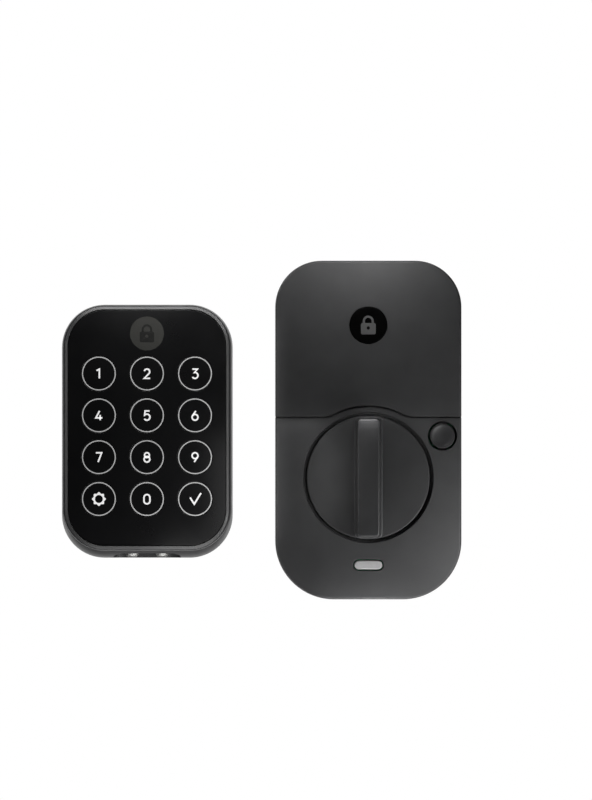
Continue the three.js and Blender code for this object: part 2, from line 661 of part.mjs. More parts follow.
// A disc with an upright grip across it, socketed underneath for the hub's square.
function thumbturn() {
  const [z0, z1] = KNOB.z;
  const { radius, edge } = KNOB;
  const face = turned(
    [[0, z0], [radius, z0], [radius, z1 - edge], [radius - edge, z1], [0, z1]],
    SIDES.large, 0, SPINDLE_Y,
  );
  const boss = rod(KNOB.bossRadius, [KNOB.bossFoot, z0 + edge], 0, SPINDLE_Y);
  return cut(
    join(face, thumbturnGrip(), boss),
    squareAt(DRIVE_SQUARE.side / 2 + DRIVE_SQUARE.gap, [-FAR, KNOB.socketTop]),
    rod(KNOB.screwHole, [-FAR, KNOB.screwTop], 0, SPINDLE_Y, SIDES.small),
  );
}

// The gear's seat on the hub: a round with two flats.
function gearSeat(grow, z) {
  const half = HUB.seatHalf + grow;
  return rod(HUB.seatRadius + grow, z, 0, SPINDLE_Y, SIDES.medium).intersect(
    block(-half, half, ...THROUGH, ...THROUGH),
  );
}

function driveHub() {
  return cut(
    join(
      rod(HUB.radius, HUB.z, 0, SPINDLE_Y, SIDES.medium),
      gearSeat(0, [HUB.z[1] - OVERLAP, HUB.seatTop]),
      squareAt(DRIVE_SQUARE.side / 2, [HUB.seatTop - OVERLAP, HUB.squareTop]),
    ),
    squareAt(TAILPIECE.headSide / 2 + DRIVE_SQUARE.gap, [-FAR, HUB.socketTop]),
    rod(HUB.screwHeadRadius, [-FAR, HUB.screwHeadTop], 0, SPINDLE_Y, SIDES.small),
    rod(HUB.screwRadius, THROUGH, 0, SPINDLE_Y, SIDES.small),
  );
}

function knobScrew() {
  const { headRadius, radius, top } = KNOB_SCREW;
  const [headFoot, headTop] = KNOB_SCREW.headZ;
  return turned(
    [
      [0, headFoot], [headRadius, headFoot], [headRadius, headTop], [radius, headTop],
      [radius, top], [0, top],
    ],
    SIDES.small, 0, SPINDLE_Y,
  );
}

function mainGear() {
  const outline = movedBy(gearOutline(GEAR.mainTeeth, GEAR.module, reductionAngle), 0, SPINDLE_Y);
  return cut(raised(outline, LOCK_Z.driveGears), gearSeat(GEAR.seatGap, THROUGH));
}

function tailpiece() {
  const { width, thickness, reach, headSide, headZ } = TAILPIECE;
  const blade = block(
    -thickness / 2, thickness / 2, SPINDLE_Y - width / 2, SPINDLE_Y + width / 2,
    -reach, headZ[0] + OVERLAP,
  );
  return join(squareAt(headSide / 2, headZ), blade);
}

// The two gears on the reduction shaft: small in the thumbturn's layer, large in the motor's.
function reductionGear() {
  const { x, y } = reductionAxis;
  const facing = reductionAngle + Math.PI;
  const gapUnderTooth = facing + Math.PI / GEAR.smallTeeth;
  const small = movedBy(gearOutline(GEAR.smallTeeth, GEAR.module, gapUnderTooth), x, y);
  const large = movedBy(gearOutline(GEAR.largeTeeth, GEAR.fineModule, motorAngle), x, y);
  const between = [LOCK_Z.motorGears[1] - OVERLAP, LOCK_Z.driveGears[0] + OVERLAP];
  return cut(
    join(
      raised(large, LOCK_Z.motorGears),
      rod(GEAR.hubRadius, between, x, y, SIDES.medium),
      raised(small, LOCK_Z.driveGears),
    ),
    rod(GEAR_PIN.radius + RUNNING_GAP, THROUGH, x, y, SIDES.shaft),
  );
}

function reductionGearPin() {
  const { x, y } = reductionAxis;
  return rod(GEAR_PIN.radius, GEAR_PIN.z, x, y, SIDES.small);
}

function motorPinion() {
  const { x, y } = motorAxis;
  const gapUnderTooth = motorAngle + Math.PI + Math.PI / GEAR.pinionTeeth;
  const outline = gearOutline(GEAR.pinionTeeth, GEAR.fineModule, gapUnderTooth);
  const shaftZ = [MOTOR.shaftFoot, LOCK_Z.motorGears[0] + OVERLAP];
  const shaft = rod(MOTOR.shaftRadius, shaftZ, x, y, SIDES.small);
  return join(raised(movedBy(outline, x, y), LOCK_Z.motorGears), shaft);
}

// The motor can, with a nose boss that the pinion's shaft turns in.
function motor() {
  const [z0, z1] = LOCK_Z.motor;
  const { radius, chamfer, noseRadius, shoulder, boreRadius } = MOTOR;
  const canTop = z1 - shoulder;
  const boreFoot = MOTOR.shaftFoot - FIT_GAP;
  return turned(
    [
      [0, z0], [radius, z0], [radius, canTop - chamfer], [radius - chamfer, canTop],
      [noseRadius, canTop], [noseRadius, z1], [boreRadius, z1], [boreRadius, boreFoot],
      [0, boreFoot],
    ],
    SIDES.shaft, motorAxis.x, motorAxis.y,
  );
}

// ---- Inside module: chassis, board and batteries ------------------------------------

const screwPlaces = [-MODULE_SCREW.x, MODULE_SCREW.x];
const atScrews = (radius, z, segments) =>
  screwPlaces.map((x) => rod(radius, z, x, MODULE_SCREW.y, segments));

function lockWindow() {
  const [y0, y1] = CABLE_WINDOW.y;
  const { halfWidth, corner } = CABLE_WINDOW;
  return raised(centredOutline(2 * halfWidth, y1 - y0, corner, 0, (y0 + y1) / 2, 3), THROUGH);
}

function interiorBase() {
  const [z0, z1] = LOCK_Z.base;
  const { inset, rim, rimTop, boreFoot } = BASE;
  const floor = raised(lockOutline(inset), [z0, rimTop]);
  const hollow = raised(lockOutline(inset + rim), from(z1));
  const bossFoot = z1 - OVERLAP;
  const pin = reductionAxis;
  const can = motorAxis;
  return cut(
    join(
      cut(floor, hollow),
      rod(BASE.hubBossRadius, [bossFoot, rimTop], 0, SPINDLE_Y),
      rod(BASE.pinBossRadius, [bossFoot, BASE.pinBossTop], pin.x, pin.y, SIDES.small),
      rod(BASE.motorBossRadius, [bossFoot, BASE.motorBossTop], can.x, can.y, SIDES.shaft),
      ...atScrews(MODULE_SCREW.bossRadius, [bossFoot, MODULE_SCREW.bossTop], SIDES.small),
    ),
    rod(BASE.hubBore, from(boreFoot), 0, SPINDLE_Y),
    rod(BASE.tailHole, THROUGH, 0, SPINDLE_Y, SIDES.shaft),
    rod(GEAR_PIN.radius + RUNNING_GAP, from(z1), pin.x, pin.y, SIDES.small),
    rod(BASE.motorBore, from(boreFoot), can.x, can.y, SIDES.shaft),
    lockWindow(),
    ...boltPlaces.map((x) => rod(BOLT_SLOT.accessRadius, THROUGH, x, SPINDLE_Y, SIDES.shaft)),
    ...atScrews(MODULE_SCREW.baseHole, THROUGH, SIDES.screw),
  );
}

function mountingPlate() {
  const { width, height, corner } = BOLT_SLOT;
  const slots = boltPlaces.map((x) =>
    raised(centredOutline(width, height, corner, x, SPINDLE_Y, 4), THROUGH),
  );
  return cut(
    raised(lockOutline(PLATE.inset), LOCK_Z.plate),
    rod(PLATE.hubHole, THROUGH, 0, SPINDLE_Y),
    lockWindow(),
    ...slots,
    ...atScrews(MODULE_SCREW.plateHole, THROUGH, SIDES.screw),
  );
}

function moduleScrew(x) {
  const { radius, headRadius, headFoot, headRim, crownRadius } = MODULE_SCREW;
  const [foot, top] = MODULE_SCREW.z;
  return turned(
    [
      [0, foot], [radius, foot], [radius, headFoot], [headRadius, headFoot],
      [headRadius, headRim], [crownRadius, top], [0, top],
    ],
    SIDES.screw, x, MODULE_SCREW.y,
  );
}

// The board, with the privacy button's switch and plunger and the status light's emitter.
function mainBoard() {
  const { side, foot, top: headY, footCorner, topCorner } = BOARD;
  const outline = roundedOutline({
    left: -side, right: side, bottom: foot, top: headY, footR: footCorner, topR: topCorner,
  });
  const face = LOCK_Z.board[1];
  const part = (x, y, halfX, halfY, rise) =>
    block(x - halfX, x + halfX, y - halfY, y + halfY, face - OVERLAP, face + rise);
  return join(
    cut(raised(outline, LOCK_Z.board), rod(BOARD.hubHole, THROUGH, 0, SPINDLE_Y)),
    part(BUTTON.x, BUTTON.y, BOARD.switchHalf, BOARD.switchHalf, BOARD.switchRise),
    rod(BOARD.plungerRadius, [face, face + BOARD.plungerRise], BUTTON.x, BUTTON.y, SIDES.small),
    part(0, LIGHT.y, LED.halfWidth, LED.halfHeight, LED.rise),
  );
}

// A dished cap with a stem for its switch and a bar behind the cover that holds it in.
function privacyButton() {
  const { x, y, radius, foot, top, edge, rim, dishRadius, dishDrop, dish } = BUTTON;
  const { barHalfWidth, barHalfLength, barZ, stemRadius, stemZ } = BUTTON;
  const cap = turned(
    [
      [0, foot], [radius, foot], [radius, top - edge], [radius - edge, top], [radius - rim, top],
      [dishRadius, top - dishDrop], [0, top - dish],
    ],
    SIDES.round, x, y,
  );
  const bar = block(
    x - barHalfWidth, x + barHalfWidth, y - barHalfLength, y + barHalfLength, ...barZ,
  );
  return join(cap, bar, rod(stemRadius, stemZ, x, y, SIDES.small));
}

function statusLight() {
  return join(raised(pill(0), LIGHT.z), raised(pill(LIGHT.flange), LIGHT.flangeZ));
}

const cellPlaces = [-1.5, -0.5, 0.5, 1.5].map((step, i) => ({
  number: i + 1, x: step * CELL.pitch, nubUp: i % 2 === 0,
}));
const cellTop = CELL.bottomY + CELL.length + CELL.nub;

function batteryCell({ x, nubUp }) {
  const { radius, length, nub, nubRadius, shoulder } = CELL;
  const profile = [
    [0, 0], [radius, 0], [radius, length - shoulder], [radius - shoulder, length],
    [nubRadius, length], [nubRadius, length + nub], [0, length + nub],
  ];
  const placed = nubUp
    ? profile.map(([r, along]) => [r, CELL.bottomY + along])
    : profile.map(([r, along]) => [r, cellTop - along]).reverse();
  return turnedAlongY(placed, SIDES.key, x, CELL.z);
}

function batteryTray() {
  const [z0, z1] = LOCK_Z.tray;
  const [y0, y1] = TRAY.y;
  const { half, endWall, endTop, ribHalf, ribRise, sideX, sideHalf, sideTop } = TRAY;
  const ribs = [-1, 0, 1].map((step) => {
    const x = step * CELL.pitch;
    return block(x - ribHalf, x + ribHalf, y0, y1, z0, z1 + ribRise);
  });
  const sides = [-sideX, sideX].map((x) => block(x - sideHalf, x + sideHalf, y0, y1, z0, sideTop));
  const whole = join(
    block(-half, half, y0, y1, z0, z1),
    block(-half, half, y0, y0 + endWall, z0, endTop),
    block(-half, half, y1 - endWall, y1, z0, endTop),
    ...ribs,
    ...sides,
  );
  const access = atScrews(MODULE_SCREW.accessRadius, THROUGH, SIDES.medium);
  return cut(whole.intersect(raised(lockOutline(TRAY.inset), [z0, endTop])), ...access);
}

// A conical coil from a contact plate to the flat end of a cell.
function contactSpring(x, plateY, cellY) {
  const { turns, steps, wire, wireSides, footRadius, taper, gap, sink } = SPRING;
  const away = Math.sign(cellY - plateY);
  const start = plateY + away * sink;
  const end = cellY - away * (wire + gap);
  const path = new THREE.CatmullRomCurve3(
    Array.from({ length: steps + 1 }, (_, i) => {
      const share = i / steps;
      const angle = share * turns * 2 * Math.PI;
      const radius = footRadius - taper * share;
      return new THREE.Vector3(
        x + radius * Math.cos(angle),
        start + (end - start) * share,
        CELL.z + radius * Math.sin(angle),
      );
    }),
  );
  const lastCorner = (2 * Math.PI * (wireSides - 1)) / wireSides;
  const section = new THREE.Shape(arc(0, 0, wire, 0, lastCorner, wireSides - 1));
  return solid(
    new THREE.ExtrudeGeometry(section, { steps, extrudePath: path, bevelEnabled: false }),
  );
}

// One sprung or flat battery contact: a plate behind one or two cells, and a coil on the
// cell whose flat end meets it.
function batteryContact(cells, atTop) {
  const xs = cells.map((cell) => cell.x);
  const { thickness, margin, halfWidth, below, above } = CONTACT_PLATE;
  const clear = TRAY.endWall + margin;
  const y0 = atTop ? TRAY.y[1] - clear - thickness : TRAY.y[0] + clear;
  const plate = block(
    Math.min(...xs) - halfWidth, Math.max(...xs) + halfWidth, y0, y0 + thickness,
    CELL.z - below, CELL.z + above,
  );
  const sprung = cells.filter((cell) => cell.nubUp !== atTop);
  const coils = sprung.map((cell) =>
    atTop
      ? contactSpring(cell.x, y0, cellTop)
      : contactSpring(cell.x, y0 + thickness, CELL.bottomY),
  );
  return join(plate, ...coils);
}

function networkModule() {
  const { half, y, z, plugHalf, plugY, plugZ } = NETWORK;
  return join(
    block(-half, half, ...y, ...z),
    block(-plugHalf, plugHalf, ...plugY, ...plugZ),
  );
}

function lockModule() {
  const unit = new THREE.Group();
  const [one, two, three, four] = cellPlaces;
  unit.add(
    piece("mounting_plate", mountingPlate(), MATERIALS.steel),
    piece("interior_base", interiorBase(), MATERIALS.chassis),
    piece("lower_cover", lowerCover(), MATERIALS.blackPlastic),
    piece("battery_cover", batteryCover(), MATERIALS.blackPlastic),
    piece("cover_badge", badge(BADGE), MATERIALS.badge),
    piece("thumbturn", thumbturn(), MATERIALS.blackPlastic),
    piece("drive_hub", driveHub(), MATERIALS.steel),
    piece("knob_screw", knobScrew(), MATERIALS.steel),
    piece("main_gear", mainGear(), MATERIALS.gear),
    piece("tailpiece", tailpiece(), MATERIALS.steel),
    piece("reduction_gear", reductionGear(), MATERIALS.gear),
    piece("reduction_gear_pin", reductionGearPin(), MATERIALS.steel),
    piece("motor_pinion", motorPinion(), MATERIALS.brass),
    piece("motor", motor(), MATERIALS.nickel),
    piece("main_circuit_board", mainBoard(), MATERIALS.board),
    piece("interior_cable_socket", cableSocket(-26, -6, LOCK_Z.socket), MATERIALS.socket),
    piece("privacy_button", privacyButton(), MATERIALS.blackPlastic),
    piece("status_light", statusLight(), MATERIALS.lens),
    piece("battery_tray", batteryTray(), MATERIALS.chassis),
    piece("battery_contact_1_minus", batteryContact([one], false), MATERIALS.nickel),
    piece("battery_contact_1_2", batteryContact([one, two], true), MATERIALS.nickel),
    piece("battery_contact_2_3", batteryContact([two, three], false), MATERIALS.nickel),
    piece("battery_contact_3_4", batteryContact([three, four], true), MATERIALS.nickel),
    piece("battery_contact_4_plus", batteryContact([four], false), MATERIALS.nickel),
    piece("network_module", networkModule(), MATERIALS.glossBlack),
  );
  for (const place of cellPlaces)
    unit.add(piece("battery_" + place.number, batteryCell(place), MATERIALS.cell));
  for (const [i, side] of ["left", "right"].entries())
    unit.add(piece("module_screw_" + side, moduleScrew(screwPlaces[i]), MATERIALS.steel));
  unit.rotation.x = Math.PI / 2;
  return unit;
}

const lock = new THREE.Group();
lock.add(keypadUnit(), lockModule());

export default lock;
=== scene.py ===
"""The keypad smart lock's looks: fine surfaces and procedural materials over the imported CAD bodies.

Each unit is drawn in its own front view, in millimetres: x to the right, y up and z off the door.
`Unit.world` turns that view upright and puts it where the CAD bodies are.
"""

from contextlib import contextmanager
from math import atan2, cos, pi, radians, sin, sqrt, tan
from types import SimpleNamespace as Sizes

import bmesh
import bpy
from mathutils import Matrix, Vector


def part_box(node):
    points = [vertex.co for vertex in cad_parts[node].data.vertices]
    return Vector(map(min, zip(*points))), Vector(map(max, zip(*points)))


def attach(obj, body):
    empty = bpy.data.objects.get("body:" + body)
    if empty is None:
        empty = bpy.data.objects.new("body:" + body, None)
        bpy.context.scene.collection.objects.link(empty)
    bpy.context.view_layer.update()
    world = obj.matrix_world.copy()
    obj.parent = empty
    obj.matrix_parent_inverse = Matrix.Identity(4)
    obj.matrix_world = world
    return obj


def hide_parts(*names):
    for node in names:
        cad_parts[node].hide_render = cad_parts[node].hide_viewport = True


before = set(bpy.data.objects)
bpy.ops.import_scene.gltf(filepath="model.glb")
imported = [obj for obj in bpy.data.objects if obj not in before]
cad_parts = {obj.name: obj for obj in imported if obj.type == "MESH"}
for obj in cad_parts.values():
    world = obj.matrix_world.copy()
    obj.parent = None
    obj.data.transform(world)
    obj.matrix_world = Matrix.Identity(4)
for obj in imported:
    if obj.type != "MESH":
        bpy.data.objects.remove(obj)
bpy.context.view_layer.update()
scene = bpy.context.scene

MM = 0.001
TURN = 2 * pi
QUARTER = pi / 2

# ---- Sizes in millimetres, in each unit's front view

CORNER_STEPS = 22  # points round a quarter of a unit's outer corner
MOUTH_STEPS = 5  # points round the softened mouth of a hole
KEYPAD = Sizes(width=68.5, height=101.6, corner=17.2)
HOUSING = Sizes(rear=1.2, bend=8.0, top=17.4, lean=0.35, wall=2.5, chin_wall=2.6)
CHIN = Sizes(start=7.0, drop=2.45, power=1.8)
PANEL = Sizes(side=2.72, top=2.3, foot=5.15, low=18.5, front=20.5)
BEZEL = Sizes(low=17.7, high=20.86, ridge=20.35)
KEY = Sizes(
    radius=6.85, hole=7.1, ring_in=6.34, ring_out=6.77, stem=1.3, end=13.6, flange=7.75,
    flange_z=(16.8, 18.2),
)
KEYPAD_BADGE_RADIUS = 6.8
SEAL = Sizes(outer=1.0, inner=5.5, high=0.9)
POCKET = Sizes(half=13.5, low=3.6, high=15.2, corner=4.5, gap=0.3)
THREAD = Sizes(turns=22, start=-11.0, pitch=0.8, root=2.05, crest=1.88)
STUD = Sizes(radius=2.6, shank=1.3, lift=0.12)

LOCK = Sizes(width=74.4, height=135.3, top_corner=18.6, foot_corner=23.4)
LOCK_FRONT = 33.0
LOCK_REAR = 0.8
FRONT_EDGE = 0.85
SPINDLE_Y = -18.98
SEAM = Sizes(y=5.14, gap=0.5, hump=28.64, fillet=11.0, edge=0.28)
WELL = Sizes(
    radius=25.1, floor=28.0, ledge=26.05, ledge_z=30.0, wall=1.3, pan_low=26.6, spindle_hole=8.2,
    cut_low=20.0,
)
COVER = Sizes(wall=1.6, front_wall=2.0)
LOWER = Sizes(wall=2.0, front_wall=2.2, bay_top=2.9, tray_half=35.2, tray_depth=9.4)
LIP = Sizes(inset=0.12, clear=0.015, drop=1.6)
SHELF = Sizes(reach=(33.6, 36.4, 9.5, 6.5), z=(22.0, 25.0))
CROWN = Sizes(reach=20.0, drop=0.7, step=1.6, above=30.9)
KNOB = Sizes(radius=24.55, low=28.4, face=33.4, top=46.4, boss=7.6, boss_low=24.4)
BOW_STEPS = 24  # points along the grip's length
GRIP = Sizes(
    foot=(11.5, 48.2), waist=(9.7, 47.3), top=(8.9, 46.9), waist_rise=1.3, corner=1.4, edge=0.6,
    bow=0.55,
)
BUTTON = Sizes(radius=5.0, hole=5.8, low=29.6, proud=0.18, dish=0.6, bar_width=3.4, bar_length=12.8)
LIGHT = Sizes(y=-53.9, length=11.1, height=3.5, frame=0.55, edge=0.5, low=28.0)
BADGE = Sizes(y=41.9, radius=7.55, gap=0.17, seat=0.7)
ARROW = Sizes(y=15.9, path=((-2.3, -1.0), (0.0, 1.25), (2.3, -1.0)), width=0.75, depth=0.14)
BELOW = -1.0  # a height behind every cover, where a cut from the rear starts
FAR = 90.0  # further than any cover reaches


def box_mm(node):
    low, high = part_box(node)
    return Vector(low) / MM, Vector(high) / MM


def node_centre(node):
    low, high = box_mm(node)
    return (low + high) / 2


class Unit:
    """One unit's front view, centred on the middle of a CAD node."""

    def __init__(self, node):
        centre = node_centre(node)
        self.x, self.y = centre.x, centre.z

    def world(self, point):
        x, y, z = point
        return Vector(((self.x + x) * MM, -z * MM, (self.y + y) * MM))

    def local(self, node):
        centre = node_centre(node)
        return centre.x - self.x, centre.z - self.y


KEYPAD_UNIT = Unit("keypad_housing")
LOCK_UNIT = Unit("mounting_plate")

# ---- Outlines


def arc(cx, cy, radius, start, end, steps):
    """Points of an arc, both ends included."""
    angles = [start + (end - start) * i / steps for i in range(steps + 1)]
    return [(cx + radius * cos(a), cy + radius * sin(a)) for a in angles]


def rounded_outline(left, right, bottom, top, foot, head, steps=CORNER_STEPS):
    """A rectangle with corners of radius foot at the bottom and head at the top."""
    return (
        arc(right - foot, bottom + foot, foot, -QUARTER, 0, steps)
        + arc(right - head, top - head, head, 0, QUARTER, steps)
        + arc(left + head, top - head, head, QUARTER, 2 * QUARTER, steps)
        + arc(left + foot, bottom + foot, foot, 2 * QUARTER, 3 * QUARTER, steps)
    )


def centred_outline(width, height, radius, x=0.0, y=0.0, steps=8):
    return rounded_outline(
        x - width / 2, x + width / 2, y - height / 2, y + height / 2, radius, radius, steps
    )


def round_ended(width, height, x, y, steps):
    """A slot's outline, with a hair of straight end so that no two points meet."""
    return centred_outline(width, height, height / 2 - 0.01, x, y, steps)


def rectangle(left, right, bottom, top):
    return [(left, bottom), (right, bottom), (right, top), (left, top)]


def circle(radius, x=0.0, y=0.0, steps=64):
    return [
        (x + radius * cos(TURN * i / steps), y + radius * sin(TURN * i / steps))
        for i in range(steps)
    ]


def keypad_outline(side, top, foot):
    half, tall = KEYPAD.width / 2, KEYPAD.height / 2
    corner = KEYPAD.corner - max(side, 0)
    return rounded_outline(-half + side, half - side, -tall + foot, tall - top, corner, corner)


def lock_outline(inset, bottom=None):
    half, tall = LOCK.width / 2, LOCK.height / 2
    low = -tall + inset if bottom is None else bottom
    return rounded_outline(
        -half + inset, half - inset, low, tall - inset,
        LOCK.foot_corner - inset, LOCK.top_corner - inset,
    )


def seam_curve(shift):
    """The line between the covers, left to right and over the thumbturn, moved up by shift."""
    fillet, hump = SEAM.fillet, SEAM.hump
    centre_y = SEAM.y + fillet
    centre_x = sqrt((hump + fillet) ** 2 - (centre_y - SPINDLE_Y) ** 2)
    down = atan2(SPINDLE_Y - centre_y, centre_x)
    up = atan2(centre_y - SPINDLE_Y, -centre_x)
    return (
        arc(-centre_x, centre_y, fillet - shift, -QUARTER, down, 14)
        + arc(0, SPINDLE_Y, hump + shift, up, pi - up, 44)
        + arc(centre_x, centre_y, fillet - shift, pi - down, pi + QUARTER, 14)
    )


def cover_outline(inset, seam_inset):
    """The battery cover's outline: the seam from left to right, then up and round."""
    half, tall = LOCK.width / 2 - inset, LOCK.height / 2 - inset
    shift, radius = SEAM.gap / 2 + seam_inset, LOCK.top_corner - inset
    level = SEAM.y + shift
    return (
        [(-half, level), *seam_curve(shift), (half, level)]
        + arc(half - radius, tall - radius, radius, 0, QUARTER, CORNER_STEPS)
        + arc(radius - half, tall - radius, radius, QUARTER, 2 * QUARTER, CORNER_STEPS)
    )


def lower_outline(inset, seam_inset):
    """The lower cover's outline: round the foot, then the seam from right to left."""
    half, tall = LOCK.width / 2 - inset, LOCK.height / 2 - inset
    shift, radius = -SEAM.gap / 2 - seam_inset, LOCK.foot_corner - inset
    level = SEAM.y + shift
    return (
        arc(radius - half, radius - tall, radius, 2 * QUARTER, 3 * QUARTER, CORNER_STEPS)
        + arc(half - radius, radius - tall, radius, -QUARTER, 0, CORNER_STEPS)
        + [(half, level), *seam_curve(shift)[::-1], (-half, level)]
    )


def filleted(points, closed=False, steps=5):
    """A profile of (a, b, radius) corners with each corner rounded by its radius."""
    out = []
    count = len(points)
    for i, (a, b, radius) in enumerate(points):
        if radius <= 0 or (not closed and i in (0, count - 1)):
            out.append((a, b))
            continue
        here = Vector((a, b))
        before = Vector(points[i - 1][:2]) - here
        after = Vector(points[(i + 1) % count][:2]) - here
        half = before.angle(after) / 2
        reach = min(radius / tan(half), before.length * 0.49, after.length * 0.49)
        start = here + before.normalized() * reach
        end = here + after.normalized() * reach
        for k in range(steps + 1):
            t = k / steps
            bend = start.lerp(here, t).lerp(here.lerp(end, t), t)
            out.append((bend.x, bend.y))
    return out


def quarter_round(radius, steps):
    """A rounded edge as (inset, drop) pairs, from the wall's top over to the face."""
    angles = [QUARTER * k / steps for k in range(steps + 1)]
    return [(radius * (1 - cos(a)), radius * (1 - sin(a))) for a in angles]


# ---- Mesh making


def new_object(name, verts, faces):
    mesh = bpy.data.meshes.new(name)
    mesh.from_pydata([tuple(v) for v in verts], [], faces)
    mesh.validate()
    return link(name, mesh)


def link(name, data):
    made = bpy.data.objects.new(name, data)
    scene.collection.objects.link(made)
    return made


@contextmanager
def opened(mesh):
    """Opens a mesh for editing, and writes it back when the block ends."""
    work = bmesh.new()
    work.from_mesh(mesh)
    yield work
    work.to_mesh(mesh)
    work.free()


def baked(obj):
    """The mesh of an object with its modifiers, or its curve, worked out."""
    evaluated = obj.evaluated_get(bpy.context.evaluated_depsgraph_get())
    return bpy.data.meshes.new_from_object(evaluated)


def face_outwards(obj):
    with opened(obj.data) as work:
        bmesh.ops.remove_doubles(work, verts=work.verts, dist=1e-5)
        bmesh.ops.recalc_face_normals(work, faces=work.faces)
    return obj


def loft(name, rows, ring=False):
    """A closed skin through rows of points; ring joins the last row to the first."""
    count = len(rows[0])
    verts = [p for row in rows for p in row]
    faces = []
    spans = len(rows) if ring else len(rows) - 1
    for s in range(spans):
        a0, b0 = s * count, ((s + 1) % len(rows)) * count
        for i in range(count):
            j = (i + 1) % count
            faces.append((a0 + i, a0 + j, b0 + j, b0 + i))
    if not ring:
        faces.append(tuple(range(count))[::-1])
        faces.append(tuple(range((len(rows) - 1) * count, len(rows) * count)))
    return face_outwards(new_object(name, verts, faces))


def level_row(outline, z):
    return [(x, y, z) for x, y in outline]


def prism(name, outline, low, high):
    return loft(name, [level_row(outline, z) for z in (low, high)])


def turned(name, profile, x=0.0, y=0.0, steps=72, along="z"):
    """A (radius, height) profile turned about an axis through x, y (or x, z when along y)."""
    verts, faces, rings = [], [], []
    for radius, height in profile:
        if radius < 1e-6:
            rings.append([len(verts)])
            verts.append(axis_point(x, y, 0, 0, height, along))
            continue
        ring = []
        for a, b in circle(radius, steps=steps):
            ring.append(len(verts))
            verts.append(axis_point(x, y, a, b, height, along))
        rings.append(ring)
    closed = profile[0][0] > 1e-6
    pairs = list(zip(rings, rings[1:])) + ([(rings[-1], rings[0])] if closed else [])
    for low, high in pairs:
        for i in range(steps):
            j = (i + 1) % steps
            quad = [low[i % len(low)], low[j % len(low)], high[j % len(high)], high[i % len(high)]]
            face = tuple(dict.fromkeys(quad))
            if len(face) > 2:
                faces.append(face)
    return face_outwards(new_object(name, verts, faces))


def puck(name, radius, low, high, edge, x, y, steps, bend=5):
    """A round plate whose front edge is rounded by edge."""
    profile = [(0, low, 0), (radius, low, 0), (radius, high, edge), (0, high, 0)]
    return turned(name, filleted(profile, steps=bend), x, y, steps)


def axis_point(x, y, a, b, height, along):
    return (x + a, y + b, height) if along == "z" else (x + a, height, y + b)


def plate(name, outlines, low, high, edge=0.12, resolution=2):
    """A flat plate with holes and softened edges: the first outline is its rim."""
    curve = bpy.data.curves.new(name, "CURVE")
    curve.dimensions = "2D"
    curve.fill_mode = "BOTH"
    curve.extrude = (high - low) / 2 - edge
    curve.bevel_depth = edge
    curve.bevel_resolution = resolution
    curve.offset = -edge
    for i, outline in enumerate(outlines):
        points = outline if runs_left(outline) == (i == 0) else outline[::-1]
        spline = curve.splines.new("POLY")
        spline.points.add(len(points) - 1)
        for target, (x, y) in zip(spline.points, points):
            target.co = (x, y, 0, 1)
        spline.use_cyclic_u = True
    holder = link(name, curve)
    made = link(name, baked(holder))
    bpy.data.objects.remove(holder)
    for vertex in made.data.vertices:
        vertex.co.z += (low + high) / 2
    return face_outwards(made)


def runs_left(outline):
    """Whether an outline runs anticlockwise."""
    pairs = zip(outline, outline[1:] + outline[:1])
    return sum(x0 * y1 - x1 * y0 for (x0, y0), (x1, y1) in pairs) > 0


def combine(target, tool, operation="DIFFERENCE"):
    """Cuts the tool from the target, or joins it on, and deletes the tool."""
    step = target.modifiers.new("combine", "BOOLEAN")
    step.operation = operation
    step.solver = "EXACT"
    step.object = tool
    mesh = baked(target)
    target.modifiers.clear()
    target.data = mesh
    bpy.data.objects.remove(tool)


def merge(name, parts):
    """Several separate shells as one mesh."""
    work = bmesh.new()
    for part in parts:
        work.from_mesh(part.data)
        bpy.data.objects.remove(part)
    mesh = bpy.data.meshes.new(name)
    work.to_mesh(mesh)
    work.free()
    return link(name, mesh)


def drill(radius, low, high, x=0.0, y=0.0, edge=0.3, steps=72):
    """A round cutter that also rounds the hole's mouth at height high."""
    flare = [(radius + inset, high - drop) for inset, drop in quarter_round(edge, MOUTH_STEPS)]
    profile = [(0, low), (radius, low), *flare, (radius + edge, high + 1), (0, high + 1)]
    return turned("drill", profile, x, y, steps)


def slot_cutter(width, height, low, high, x=0.0, y=0.0, edge=0.3):
    """A round-ended cutter that also rounds the slot's mouth at height high."""
    rows = [level_row(round_ended(width, height, x, y, 14), low)]
    for inset, drop in quarter_round(edge, MOUTH_STEPS):
        outline = round_ended(width + 2 * inset, height + 2 * inset, x, y, 14)
        rows.append(level_row(outline, high - drop))
    rows.append([(px, py, high + 1) for px, py, _ in rows[-1]])
    return loft("slot", rows)


def ribbon(name, paths, width, low, high, cyclic=()):
    """Flat strokes along paths, each a closed strip of even width with square ends."""
    parts = []
    for index, path in enumerate(paths):
        loop = index in cyclic
        left, right = [], []
        count = len(path)
        for i, point in enumerate(path):
            here = Vector(point)
            before = Vector(path[i - 1]) if i or loop else None
            after = Vector(path[(i + 1) % count]) if i + 1 < count or loop else None
            into = (here - before).normalized() if before is not None else None
            out = (after - here).normalized() if after is not None else None
            into, out = into or out, out or into
            normal = Vector((-(into.y + out.y), into.x + out.x)).normalized()
            side = Vector((-into.y, into.x))
            reach = width / 2 / max(normal.dot(side), 0.45)
            left.append(here + normal * reach)
            right.append(here - normal * reach)
        rows = [[(*l, low), (*r, low), (*r, high), (*l, high)] for l, r in zip(left, right)]
        parts.append(loft(name, rows, ring=loop))
    return merge(name, parts)


# ---- Finishing a piece


